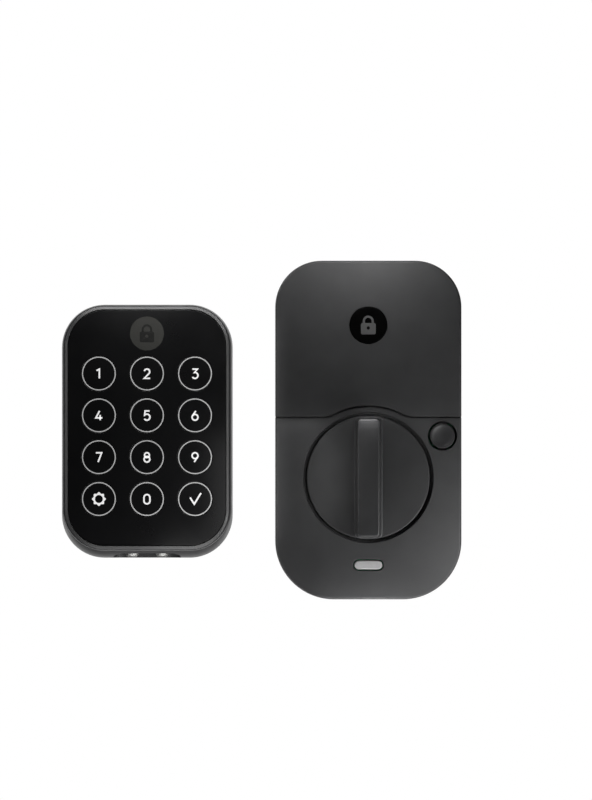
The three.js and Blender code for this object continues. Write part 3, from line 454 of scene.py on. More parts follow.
def finish(obj, name, unit, material, slot, node=None, body="lock", sharp=32.0):
    """Names a piece, turns it upright in metres, and gives it its finish, shading and body.

    A piece with a node takes that CAD node's place.
    """
    obj.name = obj.data.name = name
    for vertex in obj.data.vertices:
        vertex.co = unit.world(vertex.co)
    shade(obj.data, sharp)
    weighted = obj.modifiers.new("even_normals", "WEIGHTED_NORMAL")
    weighted.keep_sharp = True
    weighted.weight = 80
    obj.data.materials.clear()
    obj.data.materials.append(material)
    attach(obj, body)
    if node:
        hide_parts(node)


def shade(mesh, sharp):
    mesh.shade_smooth()
    mesh.set_sharp_from_angle(angle=radians(sharp))


def keep_node(node, material, edge, sharp=35.0):
    """A CAD node stays as it is, with softened edges and a better finish."""
    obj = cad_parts[node]
    soften = obj.modifiers.new("soften", "BEVEL")
    soften.width = edge * MM
    soften.segments = 2
    soften.limit_method = "ANGLE"
    soften.angle_limit = radians(sharp)
    soften.harden_normals = False
    shade(obj.data, sharp)
    for slot in obj.material_slots:
        slot.material = material
    if not obj.material_slots:
        obj.data.materials.append(material)


# ---- Materials


def set_ramp(node, *stops):
    for element, (position, color) in zip(node.color_ramp.elements, stops):
        element.position = position
        element.color = (*color, 1)


class Look:
    """A node material under construction, around one Principled shader."""

    def __init__(self, name, color, roughness, metallic=0.0):
        self.material = bpy.data.materials.new(name)
        self.material.use_nodes = True
        self.tree = self.material.node_tree
        self.shader = self.tree.nodes["Principled BSDF"]
        self.set("Base Color", (*color, 1.0))
        self.set("Roughness", roughness)
        self.set("Metallic", metallic)
        self.color = color
        self.roughness = roughness
        self.normal = None

    def set(self, socket, value):
        self.shader.inputs[socket].default_value = value

    def node(self, kind, **inputs):
        made = self.tree.nodes.new("ShaderNode" + kind)
        for key, value in inputs.items():
            made.inputs[key.replace("_", " ")].default_value = value
        return made

    def wire(self, source, target):
        self.tree.links.new(source, target)

    def position(self, scale=(1.0, 1.0, 1.0)):
        """Object coordinates in millimetres, stretched by scale."""
        coordinates = self.node("TexCoord")
        mapping = self.node("Mapping", Scale=tuple(s / MM for s in scale))
        self.wire(coordinates.outputs["Object"], mapping.inputs["Vector"])
        return mapping.outputs["Vector"]

    def noise(self, size, detail=2.0, roughness=0.5, stretch=(1.0, 1.0, 1.0)):
        """Noise whose features are about size millimetres across, from 0 to 1."""
        made = self.node("TexNoise", Scale=1.0 / size, Detail=detail, Roughness=roughness)
        self.wire(self.position(stretch), made.inputs["Vector"])
        return made.outputs["Fac"]

    def ramp(self, factor, low, high, start=0.3, end=0.7):
        """A value that runs from low to high as the factor runs from start to end."""
        span = {"From_Min": start, "From_Max": end, "To_Min": low, "To_Max": high}
        made = self.node("MapRange", **span)
        self.wire(factor, made.inputs["Value"])
        return made.outputs["Result"]

    def tint(self, factor, low, high, start=0.3, end=0.7):
        """A colour that runs from low to high as the factor runs from start to end."""
        made = self.node("ValToRGB")
        set_ramp(made, (start, low), (end, high))
        self.wire(factor, made.inputs["Fac"])
        return made.outputs["Color"]

    def bump(self, height, depth, strength=1.0):
        """Adds relief of the given depth in millimetres."""
        made = self.node("Bump", Strength=strength, Distance=depth * MM)
        self.wire(height, made.inputs["Height"])
        if self.normal is not None:
            self.wire(self.normal, made.inputs["Normal"])
        self.normal = made.outputs["Normal"]
        self.wire(self.normal, self.shader.inputs["Normal"])

    def vary_colour(self, size, amount, detail=3.0):
        """Mottles the base colour by amount, up and down."""
        low = tuple(c * (1 - amount) for c in self.color)
        high = tuple(min(1, c * (1 + amount)) for c in self.color)
        self.wire(self.tint(self.noise(size, detail), low, high), self.shader.inputs["Base Color"])

    def vary_roughness(self, size, amount, detail=3.0, stretch=(1.0, 1.0, 1.0)):
        factor = self.noise(size, detail, stretch=stretch)
        value = self.ramp(factor, self.roughness - amount, self.roughness + amount)
        self.wire(value, self.shader.inputs["Roughness"])

    def worn_edges(self, color, start=0.53, end=0.6):
        """Lets a lighter colour through the mottled one on sharp edges, in broken patches."""
        shape = self.node("NewGeometry")
        edge = self.ramp(shape.outputs["Pointiness"], 0.0, 1.0, start, end)
        patches = self.ramp(self.noise(1.6, 4.0), 0.0, 1.0, 0.45, 0.7)
        both = self.node("Math")
        both.operation = "MULTIPLY"
        self.wire(edge, both.inputs[0])
        self.wire(patches, both.inputs[1])
        worn = self.node("RGB")
        worn.outputs[0].default_value = (*color, 1)
        mix = self.node("Mix")
        mix.data_type = "RGBA"
        under = self.shader.inputs["Base Color"]
        self.wire(both.outputs[0], mix.inputs["Factor"])
        self.wire(under.links[0].from_socket, mix.inputs["A"])
        self.wire(worn.outputs[0], mix.inputs["B"])
        self.wire(mix.outputs["Result"], under)


def powder_paint(name, color, roughness, grain=0.16, depth=0.012):
    """Satin powder coat: a fine even grain over faint cloudiness."""
    look = Look(name, color, roughness)
    look.vary_colour(9.0, 0.08)
    look.vary_roughness(6.0, 0.035)
    look.bump(look.noise(grain, 2.0, 0.6), depth, 0.6)
    look.bump(look.noise(2.8, 2.0), 0.01, 0.25)
    return look.material


def gloss_face(name, color, roughness):
    """A polished face with faint cleaning haze and hair scratches."""
    look = Look(name, color, roughness)
    look.vary_roughness(14.0, 0.04, 4.0)
    look.bump(look.noise(26.0, 1.0), 0.03, 0.12)
    look.bump(look.noise(0.12, 1.0, stretch=(0.02, 1.0, 1.0)), 0.0015, 0.25)
    return look.material


def print_ink(name, color, glow=0.0):
    """Printed or backlit marking: very fine grain, a little uneven."""
    look = Look(name, color, 0.45)
    look.vary_colour(0.5, 0.05)
    look.bump(look.noise(0.1), 0.004, 0.4)
    if glow:
        look.set("Emission Color", (1.0, 1.0, 1.0, 1.0))
        look.set("Emission Strength", glow)
    return look.material


def milky_plastic(name, color, roughness, grain, depth, milkiness, blue_reach=0.001):
    """Plastic that light enters a little way, such as a lens or an acetal gear."""
    look = Look(name, color, roughness)
    look.vary_colour(3.0, 0.05)
    look.bump(look.noise(grain), depth, 0.4)
    look.set("Subsurface Weight", milkiness)
    look.set("Subsurface Radius", (0.001, 0.001, blue_reach))
    return look.material


def clear_plastic(name):
    look = Look(name, (0.85, 0.88, 0.9), 0.18)
    look.set("Transmission Weight", 0.8)
    look.set("IOR", 1.49)
    look.vary_roughness(2.0, 0.05)
    look.bump(look.noise(1.2), 0.01, 0.3)
    return look.material


def moulded_plastic(name, color, roughness=0.55, grain=0.25):
    """Injection-moulded plastic with a spark-eroded grain and faint flow marks."""
    look = Look(name, color, roughness)
    look.vary_colour(5.0, 0.1)
    look.vary_roughness(1.5, 0.06)
    look.bump(look.noise(grain, 3.0), 0.02, 0.5)
    look.bump(look.noise(7.0, 1.0, stretch=(1.0, 1.0, 0.25)), 0.02, 0.2)
    return look.material


def foam_rubber(name):
    look = Look(name, (0.018, 0.018, 0.018), 0.9)
    cells = look.node("TexVoronoi", Scale=2.2)
    look.wire(look.position(), cells.inputs["Vector"])
    look.vary_colour(1.2, 0.35)
    look.bump(cells.outputs["Distance"], 0.12, 0.8)
    look.bump(look.noise(0.3), 0.03, 0.5)
    return look.material


def plated_metal(name, color, roughness, grain=(0.04, 1.0, 1.0), blotch=0.12):
    """Plated or drawn metal: fine drawing lines one way, a little staining and handling wear."""
    look = Look(name, color, roughness, 1.0)
    look.vary_colour(4.0, blotch, 4.0)
    look.vary_roughness(0.5, 0.07, stretch=grain)
    look.bump(look.noise(0.16, 2.0, stretch=grain), 0.008, 0.5)
    look.worn_edges(tuple(min(1, c * 1.25) for c in color))
    return look.material


def circuit_board(name):
    """Green solder mask over copper tracks, with a fine weave below."""
    look = Look(name, (0.012, 0.1, 0.04), 0.38)
    tracks = look.node("TexBrick", Scale=0.22, Mortar_Size=0.045, Mortar_Smooth=0.2)
    tracks.offset_frequency = 3
    look.wire(look.position(), tracks.inputs["Vector"])
    mask = look.tint(tracks.outputs["Fac"], (0.01, 0.085, 0.035), (0.02, 0.19, 0.08), 0.2, 0.8)
    look.wire(mask, look.shader.inputs["Base Color"])
    look.bump(tracks.outputs["Fac"], 0.035, 0.7)
    look.bump(look.noise(0.4), 0.008, 0.4)
    look.vary_roughness(2.0, 0.06)
    return look.material


def cell_sleeve(name, color, roughness=0.28):
    """A shrunk printed sleeve: glossy, with faint lengthwise wrinkles."""
    look = Look(name, color, roughness, 0.25)
    look.vary_colour(6.0, 0.08)
    look.vary_roughness(3.0, 0.05)
    look.bump(look.noise(2.2, 2.0, stretch=(1.0, 1.0, 0.08)), 0.03, 0.35)
    return look.material


KEYPAD_PAINT = powder_paint("keypad_paint", (0.033, 0.033, 0.034), 0.38, 0.16, 0.004)
# The keypad paint made brighter, for the bezel's inner band: a painted highlight, not a second paint.
BEZEL_PAINTED_HIGHLIGHT = powder_paint("bezel_band_painted_highlight", (0.085, 0.085, 0.086), 0.34, 0.16, 0.002)
LOCK_PAINT = powder_paint("lock_paint", (0.03, 0.03, 0.031), 0.48)
KNOB_PAINT = powder_paint("knob_paint", (0.026, 0.026, 0.027), 0.44, 0.14)
BUTTON_PAINT = powder_paint("button_paint", (0.02, 0.02, 0.021), 0.4, 0.14)
PANEL_GLOSS = gloss_face("panel_gloss", (0.0045, 0.0045, 0.005), 0.3)
KEY_GLOSS = gloss_face("key_gloss", (0.0045, 0.0045, 0.005), 0.3)
BADGE_BLACK = gloss_face("badge_black", (0.0008, 0.0008, 0.0008), 0.12)
BADGE_GREY = print_ink("badge_grey", (0.043, 0.043, 0.039))
ICON_DARK = print_ink("icon_dark", (0.012, 0.012, 0.011))
ICON_GREY = print_ink("icon_grey", (0.07, 0.07, 0.07))
RING_INK = print_ink("ring_ink", (0.4, 0.4, 0.4), 0.2)
LEGEND_INK = print_ink("legend_ink", (0.45, 0.45, 0.45), 0.62)
LENS = milky_plastic("lens_milky", (0.32, 0.32, 0.32), 0.32, 0.35, 0.006, 0.25)
CLEAR = clear_plastic("clear_plastic")
CHASSIS = moulded_plastic("chassis_black", (0.022, 0.022, 0.024))
RECESS = moulded_plastic("recess_black", (0.012, 0.012, 0.013), 0.6)
SOCKET = moulded_plastic("socket_ivory", (0.66, 0.63, 0.52), 0.45)
FOAM = foam_rubber("foam_rubber")
NICKEL = plated_metal("nickel", (0.36, 0.36, 0.35), 0.55, blotch=0.05)
STEEL = plated_metal("zinc_steel", (0.52, 0.53, 0.55), 0.36)
BRASS = plated_metal("brass", (0.62, 0.47, 0.2), 0.3)
MOTOR_CAN = plated_metal("motor_can", (0.56, 0.56, 0.56), 0.33)
BOARD = circuit_board("circuit_board")
ACETAL = milky_plastic("gear_acetal", (0.72, 0.7, 0.62), 0.42, 0.4, 0.012, 0.15, 0.0008)
SLEEVE = cell_sleeve("cell_sleeve", (0.03, 0.07, 0.075))
SLEEVE_BAND = cell_sleeve("cell_band", (0.34, 0.35, 0.35), 0.3)

# ---- Outside keypad


def chin(z):
    """How far the housing's foot is drawn in at height z to make its sloped chin."""
    rise = max(0.0, (z - CHIN.start) / (HOUSING.top - CHIN.start))
    return CHIN.drop * min(1.0, rise) ** CHIN.power


def housing_rows():
    """The shell's section of (inset, height): up its flank, over its rim and down inside."""
    rear, bend, top = HOUSING.rear, HOUSING.bend, HOUSING.top
    lean, wall, rise = HOUSING.lean, HOUSING.wall, top - 0.3 - bend
    flank = [(0.3, rear, 0), (0.0, rear + 0.5, 0.4), (0.0, bend, 4.0)]
    flank += [(lean * k / 8, bend + rise * k / 8, 0) for k in range(1, 9)]
    rim = [(lean + 0.05, top, 0.25), (wall, top, 0.3), (wall + 0.05, rear, 0.2)]
    rows = []
    for side, z in filleted(flank + rim, closed=True, steps=4):
        outside = side < wall - 0.5
        foot = side + (chin(z) if outside else HOUSING.chin_wall)
        rows.append(level_row(keypad_outline(side, side * 0.7 if outside else side, foot), z))
    return rows


def pocket_outline(inset=0.0):
    """The contact pocket's outline in x and z, drawn in by inset."""
    half, corner = POCKET.half - inset, POCKET.corner - inset
    low, high = POCKET.low + inset, POCKET.high - inset
    return rounded_outline(-half, half, low, high, corner, corner, 12)


def make_housing():
    body = loft("keypad_housing_shell", housing_rows(), ring=True)
    foot = -KEYPAD.height / 2
    rows = [[(x, foot + y, z) for x, z in pocket_outline()] for y in (-2.0, 8.0)]
    combine(body, loft("pocket", rows))
    finish(body, "keypad_shell", KEYPAD_UNIT, KEYPAD_PAINT, "keypad_shell", "keypad_housing")


# Insets of the frame's outer foot, ridge and mouth, at its sides, its top and its foot.
BEZEL_STEPS = ((0.4, 1.46, 2.5), (0.25, 0.82, 2.08), (2.95, 3.5, 4.92))


def bezel_row(travel, z):
    """A frame row part of the way in: 0 at its outer foot, 1 at the ridge and 2 at its mouth."""
    insets = []
    for outer, ridge, mouth in BEZEL_STEPS:
        first = outer + (ridge - outer) * min(travel, 1)
        insets.append(first + (mouth - ridge) * max(travel - 1, 0))
    return level_row(keypad_outline(*insets), z)


def make_bezel():
    low, ridge, high = BEZEL.low, BEZEL.ridge, BEZEL.high
    lip = low + 0.5
    profile = [
        (0.0, low, 0), (0.08, 18.6, 0.5), (0.45, 19.75, 0.5), (1.0, ridge, 0.18),
        (1.93, high, 0.12), (2.0, ridge, 0), (2.0, lip, 0), (2.6, lip, 0), (2.6, low, 0),
    ]
    rows = [bezel_row(travel, z) for travel, z in filleted(profile, closed=True, steps=5)]
    body = loft("bezel", rows, ring=True)
    band = [face.index for face in body.data.polygons if face.center.z > ridge]
    finish(body, "keypad_front_frame", KEYPAD_UNIT, KEYPAD_PAINT, "keypad_shell", "keypad_bezel")
    # The band above the ridge, next to the glass, is painted a shade brighter than the flank outside
    # it: a painted highlight for the light that band catches, on a part that is one paint all over.
    body.data.materials.append(BEZEL_PAINTED_HIGHLIGHT)
    for index in band:
        body.data.polygons[index].material_index = 1


def key_nodes():
    return [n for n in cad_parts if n.startswith("key_")]


def make_panel():
    rim = keypad_outline(PANEL.side, PANEL.top, PANEL.foot)
    holes = [circle(KEY.hole, *KEYPAD_UNIT.local(node)) for node in key_nodes()]
    body = plate("panel", [rim, *holes], PANEL.low, PANEL.front, edge=0.18, resolution=3)
    finish(body, "keypad_face", KEYPAD_UNIT, PANEL_GLOSS, "gloss_panel", "front_panel")


def make_key(node):
    x, y = KEYPAD_UNIT.local(node)
    front, radius, stem, flange = PANEL.front, KEY.radius, KEY.stem, KEY.flange
    end, (low, high) = KEY.end, KEY.flange_z
    profile = [
        (0, end, 0), (stem, end, 0), (stem, low, 0), (flange, low, 0), (flange, high, 0.1),
        (radius, high, 0), (radius, front, 0.18), (0, front + 0.02, 0),
    ]
    cap = turned("cap", filleted(profile), x, y, 96)
    finish(cap, node + "_cap", KEYPAD_UNIT, KEY_GLOSS, "key_face", node, body=node)
    inner, outer = KEY.ring_in, KEY.ring_out
    low, high = front - 0.1, front + 0.06
    band = [(inner, low, 0), (outer, low, 0), (outer, high, 0.03), (inner, high, 0.03)]
    ring = turned("ring", filleted(band, closed=True, steps=2), x, y, 128)
    finish(ring, node + "_ring", KEYPAD_UNIT, RING_INK, "key_face", body=node)
    mark = legend(node.removeprefix("key_"))
    for vertex in mark.data.vertices:
        vertex.co.x += x
        vertex.co.y += y
    finish(mark, node + "_legend", KEYPAD_UNIT, LEGEND_INK, "key_face", body=node)


LEGEND = Sizes(width=0.62, scale=0.93, low=PANEL.front - 0.1, high=PANEL.front + 0.07)


def sweep_arc(cx, cy, radius, start, end, steps=26):
    return arc(cx, cy, radius, radians(start), radians(end), steps)


SIX = [sweep_arc(0, -0.74, 1.26, 0, 360)[:-1], [(-1.06, -0.06), (0.35, 2.0)]]
# Centre lines of each digit about its middle, and which of them are closed loops.
DIGITS = {
    "0": ([sweep_arc(0, 0.72, 1.28, 0, 180) + sweep_arc(0, -0.72, 1.28, 180, 360)], (0,)),
    "1": ([[(-1.0, 1.35), (0.2, 1.95), (0.2, -2.02)]], ()),
    "2": ([sweep_arc(0.02, 0.86, 1.16, 168, -38) + [(-1.15, -1.98), (1.36, -1.98)]], ()),
    "3": (
        [[(-1.15, 1.98), (1.05, 1.98), (-0.25, 0.5)] + sweep_arc(-0.02, -0.72, 1.28, 82, -148)],
        (),
    ),
    "4": ([[(0.3, 2.0), (-1.3, -1.0), (1.5, -1.0)], [(0.55, 0.25), (0.55, -2.0)]], ()),
    "5": (
        [[(1.1, 1.98), (-0.82, 1.98), (-1.0, 0.2)] + sweep_arc(-0.02, -0.68, 1.3, 118, -146)],
        (),
    ),
    "6": (SIX, (0,)),
    "7": ([[(-1.3, 1.98), (1.2, 1.98), (-0.35, -2.02)]], ()),
    "8": ([sweep_arc(0, y, r, 0, 360)[:-1] for y, r in ((0.95, 1.04), (-0.8, 1.22))], (0, 1)),
    "9": ([[(-x, -y) for x, y in path] for path in SIX], (0,)),
}
COG = Sizes(teeth=8, radius=2.5, tooth=0.27, hole=1.6, steps=160)
TICK = Sizes(path=((-1.98, 0.6), (-0.3, -2.05), (2.4, 2.4)), width=0.66)


def legend(label):
    low, high = LEGEND.low, LEGEND.high
    if label == "settings":
        rim = []
        for a in (TURN * i / COG.steps for i in range(COG.steps)):
            radius = COG.radius + COG.tooth * cos(COG.teeth * a)
            rim.append((radius * cos(a), radius * sin(a)))
        return plate("gear_mark", [rim, circle(COG.hole)], low, high, edge=0.02)
    if label == "enter":
        return ribbon("tick", [TICK.path], TICK.width, low, high)
    paths, loops = DIGITS[label]
    scale = LEGEND.scale
    paths = [[(x * scale, y * scale - 0.08) for x, y in path] for path in paths]
    return ribbon("digit", paths, LEGEND.width, low, high, loops)


def padlock_mark(name, scale, x, y, low, high):
    """A plain padlock: a body with a keyhole, and a shackle."""
    body = centred_outline(4.6 * scale, 3.5 * scale, 0.55 * scale, x, y - 1.1 * scale)
    hole = circle(0.5 * scale, x, y - 0.85 * scale, 20)
    parts = [plate("lock_body", [body, hole], low, high, edge=0.015)]
    bow = arc(x, y + 1.25 * scale, 1.35 * scale, 0, pi, 24)
    path = [(x + 1.35 * scale, y + 0.55 * scale), *bow, (x - 1.35 * scale, y + 0.55 * scale)]
    parts.append(ribbon("shackle", [path], 0.66 * scale, low, high))
    return merge(name, parts)


def make_keypad_badge():
    x, y = KEYPAD_UNIT.local("keypad_badge")
    front = PANEL.front
    disc = puck("badge", KEYPAD_BADGE_RADIUS, front - 0.2, front + 0.02, 0.01, x, y, 128, bend=2)
    finish(disc, "keypad_mark_disc", KEYPAD_UNIT, BADGE_GREY, "keypad_badge", "keypad_badge")
    icon = padlock_mark("icon", 1.25, x, y, front - 0.1, front + 0.04)
    finish(icon, "keypad_mark_padlock", KEYPAD_UNIT, ICON_DARK, "keypad_badge")


def make_contacts():
    """The recess under the chin, and the two studs that meet a battery's terminals."""
    face = box_mm("contact_block")[0].z - KEYPAD_UNIT.y
    rows = []
    for inset, rise in ((0.35, 0.0), (0.1, 0.1), (0.0, 0.35), (0.0, 2.2)):
        outline = pocket_outline(POCKET.gap + inset)
        rows.append([(x, face + rise, z) for x, z in outline])
    lining = loft("lining", rows)
    finish(lining, "contact_recess", KEYPAD_UNIT, RECESS, "chassis_plastic", "contact_block")
    radius, shank = STUD.radius, STUD.shank
    tip = STUD.lift - KEYPAD.height / 2
    profile = [
        (0, tip, 0), (1.15, tip, 0.5), (2.3, tip + 0.75, 0.8), (radius, tip + 1.7, 0.4),
        (radius, face - 0.35, 0.2), (1.9, face - 0.3, 0), (shank, face - 0.3, 0),
        (shank, face + 2.6, 0), (0, face + 2.6, 0),
    ]
    for side in ("left", "right"):
        node = "battery_contact_stud_" + side
        centre = node_centre(node)
        x, z = centre.x - KEYPAD_UNIT.x, -centre.y
        stud = turned("stud", filleted(profile), x, z, 64, along="y")
        finish(stud, "jump_stud_" + side, KEYPAD_UNIT, NICKEL, "contact_metal", node)


def make_seal():
    outer, inner, high = SEAL.outer, SEAL.inner, SEAL.high
    profile = [(outer, 0.0, 0.2), (outer, high, 0.25), (inner, high, 0.25), (inner, 0.0, 0.2)]
    rows = [
        level_row(keypad_outline(side, side, side), z)
        for side, z in filleted(profile, closed=True, steps=3)
    ]
    body = loft("seal", rows, ring=True)
    finish(body, "keypad_rim_gasket", KEYPAD_UNIT, FOAM, "seal_rubber", "keypad_seal")


def make_posts():
    for side in ("left", "right"):
        node = "mounting_post_" + side
        x, y = KEYPAD_UNIT.local(node)
        threads = []
        for k in range(THREAD.turns):
            z = THREAD.start + THREAD.pitch * k
            threads += [(THREAD.root, z), (THREAD.crest, z + THREAD.pitch / 2)]
        profile = [
            (2.3, -12.0), (3.6, -12.0), (4.0, -11.6), (4.0, 0.9), (3.9, 1.0), (3.0, 1.0),
            (3.0, 3.1), (4.3, 3.1), (4.4, 3.2), (4.4, 8.0), (2.1, 8.0), *threads[::-1],
        ]
        post = turned("post", profile, x, y, 48)
        finish(post, "bolt_post_" + side, KEYPAD_UNIT, BRASS, "brass", node, sharp=25)


# ---- Inside module: covers


def cover_rows(outline):
    """Rows of a cover's skin: rounded over at the front, sharper along the seam."""
    rows = [(LOCK_REAR, 0.3, 0.2), (LOCK_REAR + 0.3, 0.0, 0.0), (LOCK_FRONT / 2, 0.0, 0.0)]
    for inset, drop in quarter_round(FRONT_EDGE, 9):
        z = LOCK_FRONT - drop
        above = max(0.0, z - (LOCK_FRONT - SEAM.edge))
        seam = SEAM.edge - sqrt(max(0.0, SEAM.edge**2 - above**2))
        rows.append((z, inset, seam))
    return [level_row(outline(inset, seam), z) for z, inset, seam in rows]


def make_battery_cover():
    body = loft("cover", cover_rows(cover_outline))
    outline = lock_outline(COVER.wall, bottom=-LOCK.height)
    combine(body, prism("inside", outline, BELOW, LOCK_FRONT - COVER.front_wall))
    seat = BADGE.radius + BADGE.gap
    combine(body, drill(seat, LOCK_FRONT - BADGE.seat, LOCK_FRONT, 0, BADGE.y, 0.12, 128))
    arrow = [[(x, ARROW.y + y) for x, y in ARROW.path]]
    low, high = LOCK_FRONT - ARROW.depth, LOCK_FRONT + 0.5
    combine(body, ribbon("arrow", arrow, ARROW.width, low, high))
    node = "battery_cover"
    finish(body, "battery_cover_shell", LOCK_UNIT, LOCK_PAINT, "lock_shell", node, body=node)
    low, high = LOCK_FRONT - 0.5, LOCK_FRONT + 0.05
    disc = puck("disc", BADGE.radius, low, high, 0.12, 0, BADGE.y, 128)
    slot = "cover_badge"
    finish(disc, "cover_mark_disc", LOCK_UNIT, BADGE_BLACK, slot, "cover_badge", body=node)
    icon = padlock_mark("icon", 1.3, 0, BADGE.y, LOCK_FRONT - 0.1, LOCK_FRONT + 0.08)
    finish(icon, "cover_mark_padlock", LOCK_UNIT, ICON_GREY, slot, body=node)


def make_lower_cover():
    body = loft("lower", cover_rows(lower_outline))
    # A lip behind the seam closes the view into the gap.
    lip = lower_outline(LIP.inset, LIP.clear - SEAM.gap)
    combine(body, prism("lip", lip, LOCK_REAR + 0.4, LOCK_FRONT - LIP.drop), "UNION")
    front_wall = LOCK_FRONT - LOWER.front_wall
    bay = prism("bay", lock_outline(LOWER.wall), BELOW, front_wall)
    combine(bay, prism("keep", rectangle(-FAR, FAR, LOWER.bay_top, FAR), BELOW - 1, FAR))
    combine(body, bay)
    side = LOWER.tray_half
    combine(body, prism("under", rectangle(-side, side, 0, FAR), BELOW, LOWER.tray_depth))
    level = SEAM.y + SEAM.gap
    combine(body, prism("hump", rectangle(-FAR, FAR, level, FAR), BELOW, front_wall))
    # The thumbturn's well: a pan joined on from behind, then its ledge, floor and spindle hole.
    wide = WELL.radius + WELL.wall
    pan = puck("pan", wide, WELL.pan_low, LOCK_FRONT - 1.0, 0, 0, SPINDLE_Y, 128)
    combine(body, pan, "UNION")
    for radius, low, high, edge, steps in (
        (WELL.ledge, WELL.ledge_z, LOCK_FRONT, 0.25, 160),
        (WELL.radius, WELL.floor, WELL.ledge_z, 0.15, 160),
        (WELL.spindle_hole, WELL.cut_low, WELL.floor, 0.2, 64),
    ):
        combine(body, drill(radius, low, high, 0, SPINDLE_Y, edge, steps))
    x, y = LOCK_UNIT.local("privacy_button")
    left, right, below, above = SHELF.reach
    shelf = prism("shelf", rectangle(left, right, y - below, y + above), *SHELF.z)
    combine(body, shelf, "UNION")
    mouth = LOCK_FRONT - 4
    combine(body, drill(BUTTON.hole, mouth, LOCK_FRONT, x, y, 0.3, 96))
    width, height = LIGHT.length + 2 * LIGHT.frame, LIGHT.height + 2 * LIGHT.frame
    combine(body, slot_cutter(width, height, mouth, LOCK_FRONT, 0, LIGHT.y, 0.2))
    crown(body)
    finish(body, "lower_cover_shell", LOCK_UNIT, LOCK_PAINT, "lock_shell", "lower_cover")


def slice_across(work, levels):
    """Adds a line of points right across a mesh at each level of y, so that it can bend there."""
    for y in levels:
        everything = work.verts[:] + work.edges[:] + work.faces[:]
        bmesh.ops.bisect_plane(work, geom=everything, plane_co=(0, y, 0), plane_no=(0, 1, 0))


def crown(body):
    """Lets the lower cover's face fall away gently towards the seam above it."""
    start = SEAM.y - CROWN.reach
    with opened(body.data) as work:
        slice_across(work, [start + CROWN.step * k for k in range(17)])
        for vertex in work.verts:
            up = vertex.co.y - start
            if up > 0 and vertex.co.z > CROWN.above:
                vertex.co.z -= CROWN.drop * (up / CROWN.reach) ** 2


def make_knob():
    low, face, radius = KNOB.low, KNOB.face, KNOB.radius
    profile = [(0, low, 0), (radius, low, 0.3), (radius, face, 0.45), (0, face, 0)]
    disc = turned("disc", filleted(profile, steps=8), 0, SPINDLE_Y, 160)
    rows = [level_row(grip_outline(*size), z) for z, *size in grip_sections()]
    grip = loft("grip", rows)
    bow_grip(grip)
    combine(disc, grip, "UNION")
    boss = puck("boss", KNOB.boss, KNOB.boss_low, low + 1, 0, 0, SPINDLE_Y, 48)
    combine(disc, boss, "UNION")
    place = {"node": "thumbturn", "body": "thumbturn", "sharp": 30}
    finish(disc, "thumbturn_knob", LOCK_UNIT, KNOB_PAINT, "thumbturn_finish", **place)


def grip_outline(width, length):
    """A rounded bar with extra points along its long sides, so that it can bow."""
    corner = min(GRIP.corner, width / 2 - 0.1)
    points = centred_outline(width, length, corner, 0, SPINDLE_Y, 8)
    out = []
    for here, there in zip(points, points[1:] + points[:1]):
        out.append(here)
        if abs(here[1] - there[1]) > length / 2:
            start, end = Vector(here), Vector(there)
            out += [tuple(start.lerp(end, k / BOW_STEPS)) for k in range(1, BOW_STEPS)]
    return out


def bow_grip(grip):
    """Bows the grip's face: its two ends stand a little lower than its middle."""
    half = GRIP.top[1] / 2
    levels = [SPINDLE_Y + half * (2 * k / BOW_STEPS - 1) for k in range(1, BOW_STEPS)]
    with opened(grip.data) as work:
        for cap in [f for f in work.faces if len(f.verts) > 4]:
            bmesh.ops.delete(work, geom=[cap], context="FACES_ONLY")
        for level in (min(v.co.z for v in work.verts), max(v.co.z for v in work.verts)):
            rim = [e for e in work.edges if all(abs(v.co.z - level) < 1e-6 for v in e.verts)]
            bmesh.ops.holes_fill(work, edges=rim, sides=0)
        slice_across(work, levels)
        for vertex in work.verts:
            if vertex.co.z > KNOB.top - 2:
                along = (vertex.co.y - SPINDLE_Y) / half
                vertex.co.z -= GRIP.bow * along**4
    face_outwards(grip)


def grip_sections():
    """Heights, widths and lengths of the grip: a hollow foot, drafted walls and a rounded top."""
    (foot_wide, foot_long), (waist_wide, waist_long) = GRIP.foot, GRIP.waist
    (wide, long), edge = GRIP.top, GRIP.edge
    foot = KNOB.face + 0.05
    waist, top = KNOB.face + GRIP.waist_rise, KNOB.top
    sections = [(KNOB.face - 1.0, foot_wide, foot_long), (foot, foot_wide, foot_long)]
    for up, short in quarter_round(1.0, 8)[1:]:
        width = waist_wide + (foot_wide - waist_wide) * short
        length = waist_long + (foot_long - waist_long) * short
        sections.append((foot + (waist - foot) * up, width, length))
    sections.append((top - edge, wide + 0.05, long))
    for inset, drop in quarter_round(edge, 6)[1:]:
        sections.append((top - drop, wide - 2 * inset, long - 2 * inset))
    return sections


def make_button():
    x, y = LOCK_UNIT.local("privacy_button")
    low, top, radius = BUTTON.low, LOCK_FRONT + BUTTON.proud, BUTTON.radius
    hollow = radius - 0.95
    profile = filleted([(0, low, 0), (radius, low, 0), (radius, top, 0.3), (radius - 0.9, top, 0)])
    for k in range(15):
        r = hollow * (1 - k / 14)
        profile.append((r, top - 0.03 - BUTTON.dish * (1 - (r / hollow) ** 2) ** 0.8))
    cap = turned("button", profile, x, y, 96)
    bar = centred_outline(BUTTON.bar_width, BUTTON.bar_length, 0.5, x, y)
    combine(cap, prism("bar", bar, low - 0.3, low + 0.8), "UNION")
    place = {"node": "privacy_button", "body": "privacy_button"}
    finish(cap, "privacy_button_cap", LOCK_UNIT, BUTTON_PAINT, "thumbturn_finish", **place)


def make_light():
    length, height, y = LIGHT.length, LIGHT.height, LIGHT.y
    rows = [level_row(round_ended(length, height, 0, y, 16), LIGHT.low)]
    for inset, drop in quarter_round(LIGHT.edge, 6):
        outline = round_ended(length - 2 * inset, height - 2 * inset, 0, y, 16)
        rows.append(level_row(outline, LOCK_FRONT - drop))
    body = loft("lens", rows)
    finish(body, "status_light_lens", LOCK_UNIT, LENS, "status_lens", "status_light")


# ---- Inside module: battery bay

